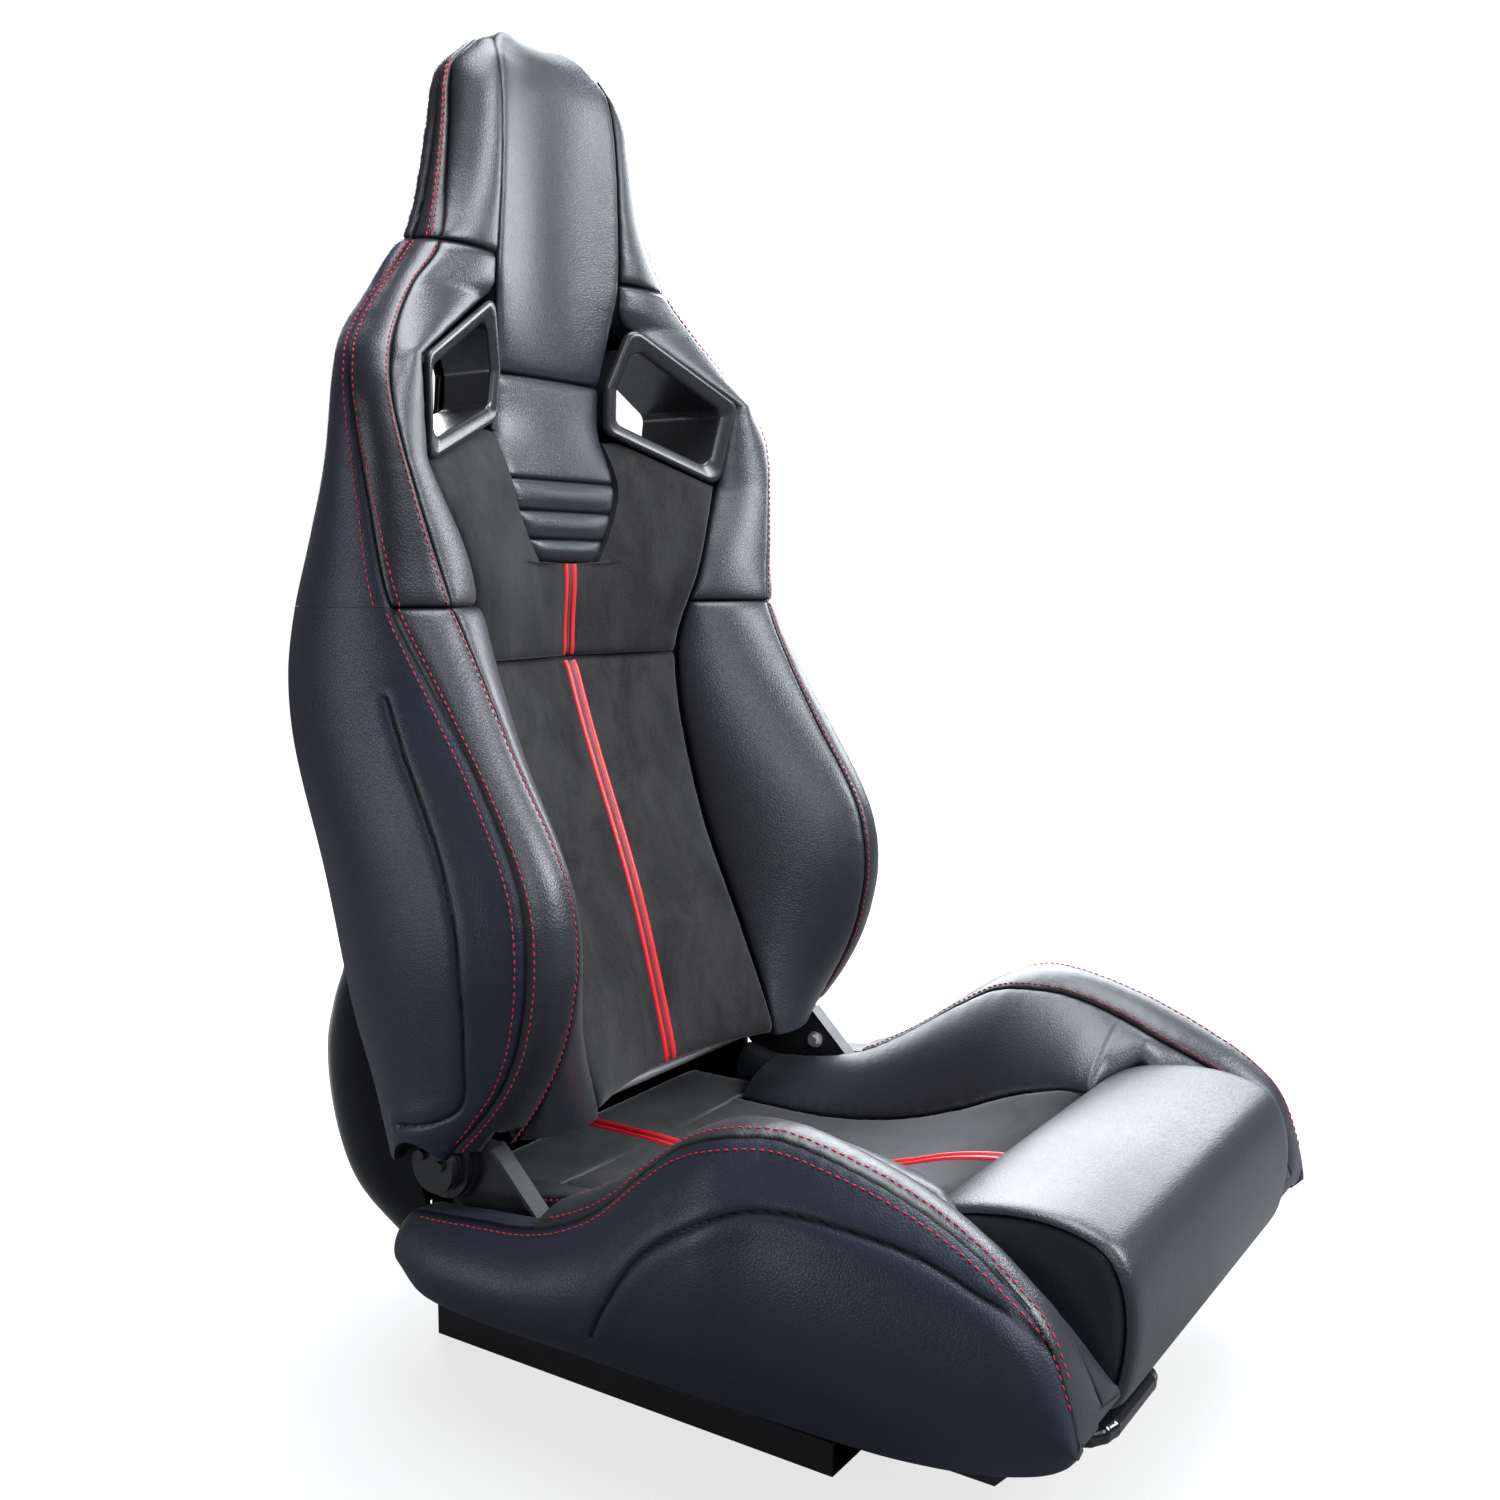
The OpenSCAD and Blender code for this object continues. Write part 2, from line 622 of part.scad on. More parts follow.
module head_side(side) {
    heights = concat([790.5], steps(805, 910, 6), [917, 924, 930, 936, 942, 948]);
    color(leather) both(side) skin([for (z = heights)
        let (
            r = head_round(z),
            fade = min(1, (952 - z) / 40),
            a = [along(HEAD_SEAM, z, 1) + seam_gap, along(HEAD_SEAM, z, 2) + r * 0.7],
            c = spot(CREST, z),
            w = spot(WELT, z),
            d = spot(REAR, z)
        )
        level(concat(bow(a, c, 5 * fade, 4), bow(c, w, 2 * fade, 2), bow(w, d, 3 * fade, 2),
                     [d, [d[0] - 4, d[1] - 5], [a[0], d[1] - 5]]), z)]);
}

// Inner edge of the shoulder pad: the panel seam, then round the harness slot.
SHOULDER_EDGE = [[629, 177, 168], [700, 189, 155], [757, 83, 196], [764, 74, 194], [790, 74, 191]];

module shoulder(side) {
    heights = concat([531], steps(543, 628, 5), [646, 664, 682, 700],
                     steps(708, 757, 6), [764, 776, 789.5]);
    color(leather) both(side) skin([for (z = heights)
        let (
            a = z < 629 ? spot(PANEL_SEAM, z) + [seam_gap, 0]
                        : [corner(SHOULDER_EDGE, z, 1), corner(SHOULDER_EDGE, z, 2)],
            c = spot(CREST, z),
            d = spot(REAR, z),
            w = spot(WELT, z),
            inner = [d[0] - 10, min(d[1] - 8, 222)],
            fold = [min(inner[0], max(a[0] + 2, w[0] - 24)),
                    min(max(a[1], c[1]) + 40, d[1] - 6)]
        )
        level(concat(bow(a, c, 4, 4), bow(c, w, 3, 3), side_path(z, 3),
                     [d, inner, fold, [a[0], max(a[1] + 12, fold[1])]]), z)]);
}

module back_bolster(side) {
    color(leather) both(side) difference() {
        skin([for (z = concat([165, 172], steps(184, 520, 14), [530]))
            let (
                a = spot(PANEL_SEAM, z) + [seam_gap, 0],
                c = spot(CREST, z),
                w = spot(WELT, z),
                back = max(a[1], along(SPINE, z, 2)) + 38
            )
            level(concat(bow(a, c, 8, 4), bow(c, w, 4, 3),
                         [w, [219.8, w[1] + 28], [198, w[1] + 36],
                          [a[0] + 20, back], [a[0], back]]), z)]);
        bracket_room();
        pivot_at(190) cylinder(d = 48, h = 80);
    }
}

// Room that the fixed bracket and the recliner plates need inside the bolster.
module bracket_room() {
    side_view(197.5, 218) union() {
        translate([pivot_y, pivot_z]) circle(r = 56);
        polygon([[30, 140], [30, 158], [94, 190], [130, 200], [150, 140]]);
    }
}

module back_side(side) {
    color(leather) both(side) difference() {
        skin([for (z = concat([151, 158], steps(168, 520, 14), [530]))
            let (w = spot(WELT, z), d = spot(REAR, z))
            level(concat([w + [0, seam_gap]], [for (i = [1 : 5]) side_path(z, 6)[i]],
                         [d, [219.5, d[1] - 2], [219.8, w[1] + 36]]), z)]);
        pivot_at(190) cylinder(d = 46, h = 80);
    }
}

// ---------- cushion pads ----------

// Where the centre panel widens into the flap under the backrest, and the flap's own size.
flap_from = 104;
flap_to = 190;
flap_half = 165;
flap_z = 102;

module cushion_center() {
    depths = concat(steps(-205, -100, 6), steps(-75, flap_from + 0.2, 5),
                    [flap_from + 1, 140, flap_to - 14, flap_to - 4, flap_to]);
    color(suede) skin([for (y = depths)
        let (
            flap = y > flap_from + 0.5,
            fall = pow(max(0, y - flap_to + 10), 2) / 12,
            e = flap ? [flap_half, flap_z - fall] : spot(SEAT_SEAM, y) - [seam_gap, 0]
        )
        slice(concat(across(e, along(SEAT_LINE, y, 2), 4),
                     [[e[0], foam_floor], [-e[0], foam_floor]]), y)]);
}

// Side view of the front roll: the crease, over the top, and back underneath.
ROLL = [[-209, 120], [-209, 166], [-228, 178], [-255, 184], [-285, 189], [-312, 187],
        [-333, 178], [-344, 162], [-348, 140], [-346, 112], [-338, 86], [-328, 80],
        [-312, 84.5], [-232, 92.5]];

roll_half = 162;

module cushion_roll() {
    mid = [-275, 132];
    ends = [[-roll_half, 0.94], [5 - roll_half, 1], [-80, 1], [80, 1], [roll_half - 5, 1],
            [roll_half, 0.94]];
    function ring(k) = [for (p = ROLL) mid + (p - mid) * k];
    color(leather) skin([for (s = ends) [for (p = ring(s[1])) [s[0], p[0], p[1]]]]);
}

// Point inside the welt w, above the hem h, where the bolster and the side pad part.
function tuck(w, h) = [max(w[0] - 17, 222.5), w[1] - min(19, (w[1] - h[1]) / 2)];

slot_from = 24;
pad_stations = concat([-341, -336, -330, -322], steps(-310, -208.5, 5),
                      steps(-207.5, slot_from, 10));

module cushion_bolster(side) {
    color(leather) both(side) skin([for (y = concat(pad_stations, [slot_from + 0.5, 40, 58, 80, 104]))
        let (
            front = y < -208,
            rear = y > slot_from,
            face = rear ? 192.9 : 198.7,
            a = front ? [roll_half + 3.5, max(90, along(SEAT_CREST, y, 2) - 50 - 0.15 * (y + 208))]
                      : spot(SEAT_SEAM, y) + [seam_gap, 0],
            c = spot(SEAT_CREST, y),
            w = rear ? [face + 0.1, c[1] - 1] : spot(SEAT_WELT, y),
            k = rear ? [face + 0.1, c[1] - 6] : tuck(w, spot(SEAT_HEM, y)) - [2.5, 0],
            base = [min(k[0], 222), min(k[1] - 2, 102)],
            low = front ? 97 : foam_floor
        )
        slice(concat(bow(a, c, front ? -4 : -6, 4), bow(c, w, rear ? 0 : -4, 3),
                     [w, k, base, [face, base[1] - 0.1], [face - 0.1, min(low, a[1] - 5)],
                      [a[0], min(low, a[1] - 5)]]), y)]);
}

module cushion_side(side) {
    stations = concat([-342], pad_stations, steps(slot_from + 0.5, 120, 4), [132, 138, 142]);
    color(leather) both(side) skin([for (y = stations)
        let (
            w = spot(SEAT_WELT, y) - [0, 2.5 * seam_gap],
            h = spot(SEAT_HEM, y),
            k = y > slot_from ? [217.5, w[1] - 14] : tuck(w, h),
            lead = y > slot_from ? [217.5, w[1] - 1] : (w + k) / 2
        )
        slice(concat([lead], bow(w, h, -along(SEAT_BULGE, y, 1), 6),
                     [h, [h[0] - 2, h[1] + 0.5], [max(k[0], 223), (k[1] + h[1]) / 2], k]), y)]);
}

lower_rail(-1);  // lower_rail_left
lower_rail(1);  // lower_rail_right
ball_cage(-1);  // ball_cage_left
ball_cage(1);  // ball_cage_right
upper_rail(-1);  // upper_rail_left
upper_rail(1);  // upper_rail_right
rail_riser(-1);  // rail_riser_left
rail_riser(1);  // rail_riser_right
seat_side(-1);  // seat_side_left
seat_side(1);  // seat_side_right
front_cross_tube();
rear_cross_tube();
seat_pan();
recliner_lower(-1);  // recliner_lower_left
recliner_lower(1);  // recliner_lower_right
recliner_bolts();
cushion_center();
cushion_roll();
cushion_bolster(-1);  // cushion_bolster_left
cushion_bolster(1);  // cushion_bolster_right
cushion_side(-1);  // cushion_side_left
cushion_side(1);  // cushion_side_right
slide_bar();
latch_plates();
release_rod();
recline_lever();
recliner_upper(-1);  // recliner_upper_left
recliner_upper(1);  // recliner_upper_right
hub_cap(-1);  // hub_cap_left
hub_cap(1);  // hub_cap_right
back_member(-1);  // back_member_left
back_member(1);  // back_member_right
back_hoop();
head_loop();
lumbar_springs();
back_shell();
back_center();
back_upper();
neck_pad();
head_pad();
head_side(-1);  // head_side_left
head_side(1);  // head_side_right
shoulder(-1);  // shoulder_left
shoulder(1);  // shoulder_right
back_bolster(-1);  // back_bolster_left
back_bolster(1);  // back_bolster_right
back_side(-1);  // back_side_left
back_side(1);  // back_side_right
harness_bezel(-1);  // harness_bezel_left
harness_bezel(1);  // harness_bezel_right
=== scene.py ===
import math

import bpy
import numpy as np
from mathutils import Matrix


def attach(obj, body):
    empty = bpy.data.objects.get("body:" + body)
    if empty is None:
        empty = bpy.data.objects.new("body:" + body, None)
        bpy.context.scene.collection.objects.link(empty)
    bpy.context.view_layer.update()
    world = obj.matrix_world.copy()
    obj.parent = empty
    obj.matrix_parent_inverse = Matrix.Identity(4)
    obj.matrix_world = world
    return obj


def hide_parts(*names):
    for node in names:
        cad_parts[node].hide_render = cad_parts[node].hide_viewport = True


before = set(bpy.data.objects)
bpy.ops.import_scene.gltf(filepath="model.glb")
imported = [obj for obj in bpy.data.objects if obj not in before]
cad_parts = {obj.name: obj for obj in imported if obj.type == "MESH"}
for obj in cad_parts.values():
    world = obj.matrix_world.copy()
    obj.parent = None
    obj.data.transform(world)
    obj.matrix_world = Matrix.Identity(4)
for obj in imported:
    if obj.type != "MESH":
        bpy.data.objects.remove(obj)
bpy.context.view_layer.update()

# ---------- camera, floor and light ----------
# The seat stands on a pale studio floor under broad soft lamps, seen from its front left. Floor
# and backdrop are bright to the camera only, and dark to the seat.

camera = bpy.data.objects.new("camera", bpy.data.cameras.new("camera"))
bpy.context.scene.collection.objects.link(camera)
camera.location = (-0.9639, -0.6216, 0.5498)
camera.rotation_euler = (math.radians(90 - 6.325), 0, math.radians(-56.546))
camera.data.lens = 37.34
bpy.context.scene.camera = camera
bpy.context.scene.view_settings.view_transform = "Standard"


def wire(tree, kind, settings=None, **inputs):
    """A node of that kind. Its inputs are values, or sockets to link, by name with _ for a
    space, or by number as _0, _1 and so on."""
    made = tree.nodes.new(kind)
    for name, value in (settings or {}).items():
        setattr(made, name, value)
    for name, value in inputs.items():
        key = int(name[1:]) if name[1:].isdigit() else name.replace("_", " ")
        socket = made.inputs[key]
        if isinstance(value, bpy.types.NodeSocket):
            tree.links.new(value, socket)
        else:
            socket.default_value = value
    return made


def ease(tree, value, low, high, to_low=0.0, to_high=1.0):
    """A socket where value, from low to high, becomes to_low to to_high along a smoothstep."""
    return wire(tree, "ShaderNodeMapRange", {"interpolation_type": "SMOOTHSTEP"}, Value=value,
                From_Min=low, From_Max=high, To_Min=to_low, To_Max=to_high).outputs[0]


def blank(name):
    """A new material, its node tree, and the inputs of its shader."""
    material = bpy.data.materials.new(name)
    material.use_nodes = True
    tree = material.node_tree
    return material, tree, tree.nodes["Principled BSDF"].inputs


world = bpy.data.worlds.new("studio")
world.use_nodes = True
sky = world.node_tree
backdrop = sky.nodes["Background"].inputs
backdrop["Color"].default_value = (1, 1, 1, 1)
seen = wire(sky, "ShaderNodeLightPath").outputs["Is Camera Ray"]
level = wire(sky, "ShaderNodeMapRange", Value=seen, To_Min=0.14, To_Max=1.0)
sky.links.new(level.outputs[0], backdrop["Strength"])
bpy.context.scene.world = world


def lamp(name, place, aim, size, watts):
    """A rectangular area lamp at place, tilted and turned so that its -Z runs to aim."""
    light = bpy.data.lights.new(name, "AREA")
    light.shape = "RECTANGLE"
    light.size, light.size_y = size
    light.energy = watts
    light.color = (0.91, 0.955, 1.0)
    thing = bpy.data.objects.new(name, light)
    way = np.array(aim, float) - np.array(place, float)
    tilt = math.acos(-way[2] / np.linalg.norm(way))
    thing.location = place
    thing.visible_camera = False
    thing.rotation_euler = (tilt, 0, math.atan2(-way[0], way[1]))
    bpy.context.scene.collection.objects.link(thing)


lamp("key_top", (0.2, -0.3, 2.3), (0, -0.1, 0.4), (1.8, 1.2), 80)
lamp("card_behind", (1.6, 1.4, 1.5), (0, 0, 0.3), (2.2, 2.1), 125)
lamp("fill_left", (-2.1, 1.2, 0.4), (-0.2, 0.1, 0.3), (1.2, 0.6), 12)
lamp("rim_right", (2.05, -0.1, 1.15), (0, -0.1, 0.3), (1.3, 0.8), 30)
lamp("head_right", (1.5, -0.95, 1.75), (0, 0.2, 0.8), (0.7, 0.7), 3)
lamp("strip_front", (0.7, -2.0, 1.6), (0, 0.1, 0.6), (0.9, 1.2), 80)
lamp("fill_camera", (-1.4, -1.6, 1.4), (0, 0.1, 0.5), (1.0, 1.0), 19)

FLOOR_HALF = 6
floor_mesh = bpy.data.meshes.new("floor")
floor_mesh.from_pydata([(x * FLOOR_HALF, y * FLOOR_HALF, 0)
                        for x, y in ((-1, -1), (1, -1), (1, 1), (-1, 1))], [], [(0, 1, 2, 3)])
floor = bpy.data.objects.new("floor", floor_mesh)
bpy.context.scene.collection.objects.link(floor)
pale, tree, paint = blank("pale_floor")
paint["Base Color"].default_value = (0.10, 0.10, 0.10, 1)
paint["Roughness"].default_value = 0.7
paint["Emission Color"].default_value = (1, 1, 1, 1)
away = wire(tree, "ShaderNodeVectorMath", {"operation": "LENGTH"},
            _0=wire(tree, "ShaderNodeTexCoord").outputs["Object"])
spread = ease(tree, away.outputs["Value"], 0.5, 2.2, 0.76, 1.0)
glow = wire(tree, "ShaderNodeMath", {"operation": "MULTIPLY"},
            _0=wire(tree, "ShaderNodeLightPath").outputs["Is Camera Ray"], _1=spread)
tree.links.new(glow.outputs[0], paint["Emission Strength"])
floor_mesh.materials.append(pale)

# ---------- leather and suede ----------
# The covers: satin leather with a fine pebbled grain that puckers along its seams, and a
# short-nap suede whose brushed pile shows lighter and darker patches.


def grain_group():
    """Pebbled leather: height from the distance to the edges of small cells, bent by a noise,
    plus a softer noise, and tone from one broad noise."""
    group = bpy.data.node_groups.new("pebbled_grain", "ShaderNodeTree")
    group.interface.new_socket("Vector", in_out="INPUT", socket_type="NodeSocketVector")
    group.interface.new_socket("Height", in_out="OUTPUT", socket_type="NodeSocketFloat")
    group.interface.new_socket("Tone", in_out="OUTPUT", socket_type="NodeSocketFloat")
    start = group.nodes.new("NodeGroupInput")
    end = group.nodes.new("NodeGroupOutput")
    bend = wire(group, "ShaderNodeTexNoise", Vector=start.outputs[0], Scale=160.0, Detail=2.0)
    shifted = wire(group, "ShaderNodeVectorMath", {"operation": "MULTIPLY_ADD"},
                   _0=bend.outputs["Color"], _1=(0.003, 0.003, 0.003), _2=start.outputs[0])
    cells = wire(group, "ShaderNodeTexVoronoi", {"feature": "DISTANCE_TO_EDGE"},
                 Vector=shifted.outputs[0], Scale=420.0)
    pebble = ease(group, cells.outputs["Distance"], 0.0, 0.22)
    soft = wire(group, "ShaderNodeTexNoise", Vector=start.outputs[0], Scale=38.0, Detail=4.0)
    height = wire(group, "ShaderNodeMath", {"operation": "MULTIPLY_ADD"},
                  _0=soft.outputs["Fac"], _1=1.6, _2=pebble)
    broad = wire(group, "ShaderNodeTexNoise", Vector=start.outputs[0], Scale=7.0, Detail=5.0)
    tone = wire(group, "ShaderNodeMapRange", Value=broad.outputs["Fac"], From_Min=0.3,
                From_Max=0.7, To_Min=0.86, To_Max=1.14)
    group.links.new(height.outputs[0], end.inputs["Height"])
    group.links.new(tone.outputs[0], end.inputs["Tone"])
    return group


grain = grain_group()


def leather(name, colour, rough, sheen):
    """Leather of one colour: grain and seam puckers as bump, shade painted into the seams, gloss
    uneven.
    """
    material, tree, shader = blank(name)
    where = wire(tree, "ShaderNodeTexCoord").outputs["Object"]
    pebbles = wire(tree, "ShaderNodeGroup", {"node_tree": grain}, Vector=where)
    seam = wire(tree, "ShaderNodeAttribute", {"attribute_name": "seam_mm"})
    near = ease(tree, seam.outputs["Fac"], 0.5, 16.0, 1.0, 0.0)
    pucker = wire(tree, "ShaderNodeTexNoise", Vector=where, Scale=95.0, Detail=1.0)
    gathered = wire(tree, "ShaderNodeMath", {"operation": "MULTIPLY"},
                    _0=pucker.outputs["Fac"], _1=near)
    raised = wire(tree, "ShaderNodeMath", {"operation": "MULTIPLY_ADD"},
                  _0=gathered.outputs[0], _1=1.6, _2=pebbles.outputs["Height"])
    bump = wire(tree, "ShaderNodeBump", Strength=0.20, Distance=0.0004,
                Height=raised.outputs[0])
    # Painted shade in the seams: darker colour and a weaker highlight within 3.2 mm of one.
    groove = ease(tree, seam.outputs["Fac"], 0.0, 3.2, 0.16, 1.0)
    shade = wire(tree, "ShaderNodeMath", {"operation": "MULTIPLY"},
                 _0=pebbles.outputs["Tone"], _1=groove)
    base = wire(tree, "ShaderNodeVectorMath", {"operation": "SCALE"}, _0=colour,
                Scale=shade.outputs[0])
    worn = wire(tree, "ShaderNodeMapRange", Value=pebbles.outputs["Tone"], From_Min=0.86,
                From_Max=1.14, To_Min=rough + 0.05, To_Max=rough - 0.04)
    shine = wire(tree, "ShaderNodeMath", {"operation": "MULTIPLY"}, _0=groove, _1=0.5)
    tree.links.new(base.outputs[0], shader["Base Color"])
    tree.links.new(worn.outputs[0], shader["Roughness"])
    tree.links.new(shine.outputs[0], shader["Specular IOR Level"])
    tree.links.new(bump.outputs[0], shader["Normal"])
    shader["Sheen Weight"].default_value = sheen
    shader["Sheen Roughness"].default_value = 0.4
    return material


def suede(name, colour):
    """Suede: dark short pile, patches where it is brushed up or down, matte, with a sheen."""
    material, tree, shader = blank(name)
    where = wire(tree, "ShaderNodeTexCoord").outputs["Object"]
    long = wire(tree, "ShaderNodeMapping", Vector=where, Scale=(1.0, 1.0, 0.45))
    brush = wire(tree, "ShaderNodeTexNoise", Vector=long.outputs[0], Scale=26.0, Detail=6.0,
                 Roughness=0.62, Distortion=0.5)
    fine = wire(tree, "ShaderNodeTexNoise", Vector=where, Scale=900.0, Detail=2.0)
    mixed = wire(tree, "ShaderNodeMath", {"operation": "MULTIPLY_ADD"},
                 _0=fine.outputs["Fac"], _1=0.5, _2=brush.outputs["Fac"])
    tone = ease(tree, mixed.outputs[0], 0.5, 1.0, 0.5, 1.6)
    # Painted shade in the seams: darker colour within 3.5 mm of one.
    seam = wire(tree, "ShaderNodeAttribute", {"attribute_name": "seam_mm"})
    groove = ease(tree, seam.outputs["Fac"], 0.0, 3.5, 0.25, 1.0)
    shade = wire(tree, "ShaderNodeMath", {"operation": "MULTIPLY"}, _0=tone, _1=groove)
    base = wire(tree, "ShaderNodeVectorMath", {"operation": "SCALE"}, _0=colour,
                Scale=shade.outputs[0])
    bump = wire(tree, "ShaderNodeBump", Strength=0.5, Distance=0.0005, Height=mixed.outputs[0])
    tree.links.new(base.outputs[0], shader["Base Color"])
    tree.links.new(bump.outputs[0], shader["Normal"])
    shader["Roughness"].default_value = 0.95
    shader["Specular IOR Level"].default_value = 0.15
    shader["Sheen Weight"].default_value = 0.35
    shader["Sheen Roughness"].default_value = 0.35
    shader["Sheen Tint"].default_value = (0.75, 0.76, 0.8, 1)
    return material


charcoal = leather("charcoal_leather", (0.015, 0.017, 0.021), 0.34, 0.04)
navy = leather("navy_leather", (0.010, 0.013, 0.026), 0.42, 0.05)
nap = suede("charcoal_suede", (0.017, 0.0165, 0.0165))

# ---------- backrest: centre panels ----------
# Two suede panels over foam between the bolsters, the upper one shaped round a leather neck
# pad with three sewn channels. Lines are rows of height, distance from the middle, depth.


def along(line, t, k=1):
    """Column k of a table of rows at t: a cubic between two rows, each row's slope taken from
    its neighbours, and flat past both ends."""
    line = np.asarray(line, float)
    x, y = line[:, 0], line[:, k]
    row = np.arange(len(x))
    lo, hi = np.maximum(row - 1, 0), np.minimum(row + 1, len(x) - 1)
    slope = (y[hi] - y[lo]) / (x[hi] - x[lo])
    s = np.clip(t, x[0], x[-1])
    i = np.clip(np.searchsorted(x, s, side="right") - 1, 0, len(x) - 2)
    h = x[i + 1] - x[i]
    u = (s - x[i]) / h
    return (y[i] * (1 + 2 * u) * (1 - u) ** 2 + slope[i] * h * u * (1 - u) ** 2
            + y[i + 1] * u * u * (3 - 2 * u) + slope[i + 1] * h * u * u * (u - 1))


def spot(line, t):
    """Both coordinates of a line at t, as one row each."""
    return np.stack([along(line, t, 1), along(line, t, 2)], -1)


def sewn_steps(a, b, step):
    """Positions from a to b: at fixed small distances from both sewn ends, and evenly spaced,
    about step apart, between them."""
    near = np.array([0, 0.8, 1.8, 3.2, 5, 8])
    length = b - a
    if length < 26:
        return np.linspace(a, b, 7)
    middle = np.linspace(12, length - 12, max(2, int(round((length - 24) / step)) + 1))
    return a + np.concatenate([near, middle, length - near[::-1]])


def unit(v):
    """Rows of v scaled to length 1."""
    return v / np.linalg.norm(v, axis=-1, keepdims=True)


def quilt(lines, t, steps, rises, face=1, crown=2.5, tuck=3.0, sewn=None, ends=(1, 1)):
    """Sewn panels side by side, one between each pair of lines, a section to each row of t.
    A panel is the chord, plus a parabola 4 u (1 - u) rise, plus a crown that grows as
    1 - exp(-s / 9) with the distance s to the nearest seam, less a tuck that dies away as
    exp(-s / 2.4). Along each sewn line the cover ripples. Points near a line move along that
    line's own direction, so that neighbours meet. The pairs sewn and ends say which lines, and
    which first and last sections, are sewn down. Returns (points, distance to a seam, the
    column of each line)."""
    lines = [np.asarray(line, float) for line in lines]
    sewn = sewn or [1] * len(lines)
    out = [unit(np.stack([q[:, 1] - p[:, 1], p[:, 0] - q[:, 0]], -1)) * face
           for p, q in zip(lines, lines[1:])]
    joint = [out[0]] + [unit(m + n) for m, n in zip(out, out[1:])] + [out[-1]]
    ripple = 0.30 * np.sin(t / 2.3 + 2.2 * np.sin(t / 31)) + 0.22 * np.sin(t / 5.1 + 1)
    points, near, marks = [], [], [0]
    for k, (p, q) in enumerate(zip(lines, lines[1:])):
        length = np.linalg.norm(q - p, axis=1)
        u = sewn_steps(0, length.mean(), steps) / length.mean()
        u = u[1:] if k else u
        start, end = np.outer(length, u), np.outer(length, 1 - u)
        gaps = [start, end, np.repeat((t - t[0])[:, None], len(u), 1),
                np.repeat((t[-1] - t)[:, None], len(u), 1)]
        flags = (sewn[k], sewn[k + 1], *(ends[k] if np.ndim(ends) == 2 else ends))
        held = [g for g, flag in zip(gaps, flags) if flag]
        close = np.min(held, 0) if held else np.full(start.shape, 50.0)
        push = crown * (1 - np.exp(-close / 9))
        for g in held:
            push = push - tuck * np.exp(-g / 2.4)
        for g in held[:sewn[k] + sewn[k + 1]]:
            push = push + ripple[:, None] * np.exp(-g / 8) * (1 - np.exp(-g / 2))
        w0, w1 = np.exp(-start / 3)[..., None], np.exp(-end / 3)[..., None]
        way = unit(out[k][:, None] * (1 - w0 - w1) + joint[k][:, None] * w0
                   + joint[k + 1][:, None] * w1)
        rise = np.broadcast_to(rises[k], length.shape)
        lift = (4 * u * (1 - u))[None] * rise[:, None] + push
        points.append(p[:, None] + (q - p)[:, None] * u[None, :, None] + way * lift[..., None])
        near.append(close)
        marks.append(marks[-1] + len(u) - (k == 0))
    return np.concatenate(points, 1), np.concatenate(near, 1), marks


def join(*parts):
    """Quilted panels and single points side by side, as one ring to each section. A single
    point counts as far from any seam."""
    points, near, marks, width = [], [], [], 0
    for part in parts:
        if isinstance(part, tuple):
            points.append(part[0])
            near.append(part[1])
            marks += [width + mark for mark in part[2]]
        else:
            points.append(np.asarray(part, float)[:, None])
            near.append(np.full((len(part), 1), 30.0))
        width += points[-1].shape[1]
    return np.concatenate(points, 1), np.concatenate(near, 1), marks


def tube_faces(rows, ring, turn=1):
    """Faces of a closed tube whose rows hold ring points each: a four-cornered face between
    neighbours in two rows, and one face across each end. With turn -1 the points run the other
    way round."""
    start = np.arange(rows - 1)[:, None] * ring
    a = (start + np.arange(ring)).ravel()
    b = (start + (np.arange(ring) + 1) % ring).ravel()
    quads = np.stack([a, b, b + ring, a + ring], 1)[:, [0, turn, 2, -turn]].tolist()
    return quads + [list(range(ring))[::-turn],
                    list(range((rows - 1) * ring, rows * ring))[::turn]]


MM = 0.001


def piece(name, points, faces, material, near=None, bend=55):
    """A mesh object from points in millimetres, smooth but for bends over that many degrees."""
    mesh = bpy.data.meshes.new(name)
    mesh.from_pydata((np.asarray(points) * MM).tolist(), [], faces)
    if near is not None:
        layer = mesh.attributes.new("seam_mm", "FLOAT", "POINT")
        layer.data.foreach_set("value", np.asarray(near, np.float32))
    mesh.materials.append(material)
    mesh.shade_smooth()
    mesh.set_sharp_from_angle(angle=math.radians(bend))
    mesh.validate()
    made = bpy.data.objects.new(name, mesh)
    bpy.context.scene.collection.objects.link(made)
    return made


grids = {}


def pad(name, ring_of, t, axis, material, mirror=False, bend=55):
    """A closed pad lofted through its sections, which stand at t along axis (1 for a slice
    across the cushion, 2 for a level of the backrest), closed by a flat face at each end. Its
    grid of points is kept in grids for the stitches and trim laid on it later."""
    sections, near, marks = ring_of
    rows, ring = sections.shape[:2]
    points = np.empty((rows, ring, 3))
    points[..., axis] = t[:, None]
    points[..., 0] = sections[..., 0]
    points[..., 3 - axis] = sections[..., 1]
    grids[name] = (points * [-1, 1, 1] if mirror else points.copy(), marks)
    if mirror:
        points[..., 0] *= -1
        points, near = points[:, ::-1], near[:, ::-1]
    return piece(name, points.reshape(-1, 3), tube_faces(rows, ring), material, near.ravel(),
                 bend)


def dress(made, body, slot, *replaced, fill=None):
    """Fixes a new piece to its body and hides the CAD nodes it stands for; slot is not used."""
    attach(made, body)
    if replaced:
        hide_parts(*replaced)
    return made


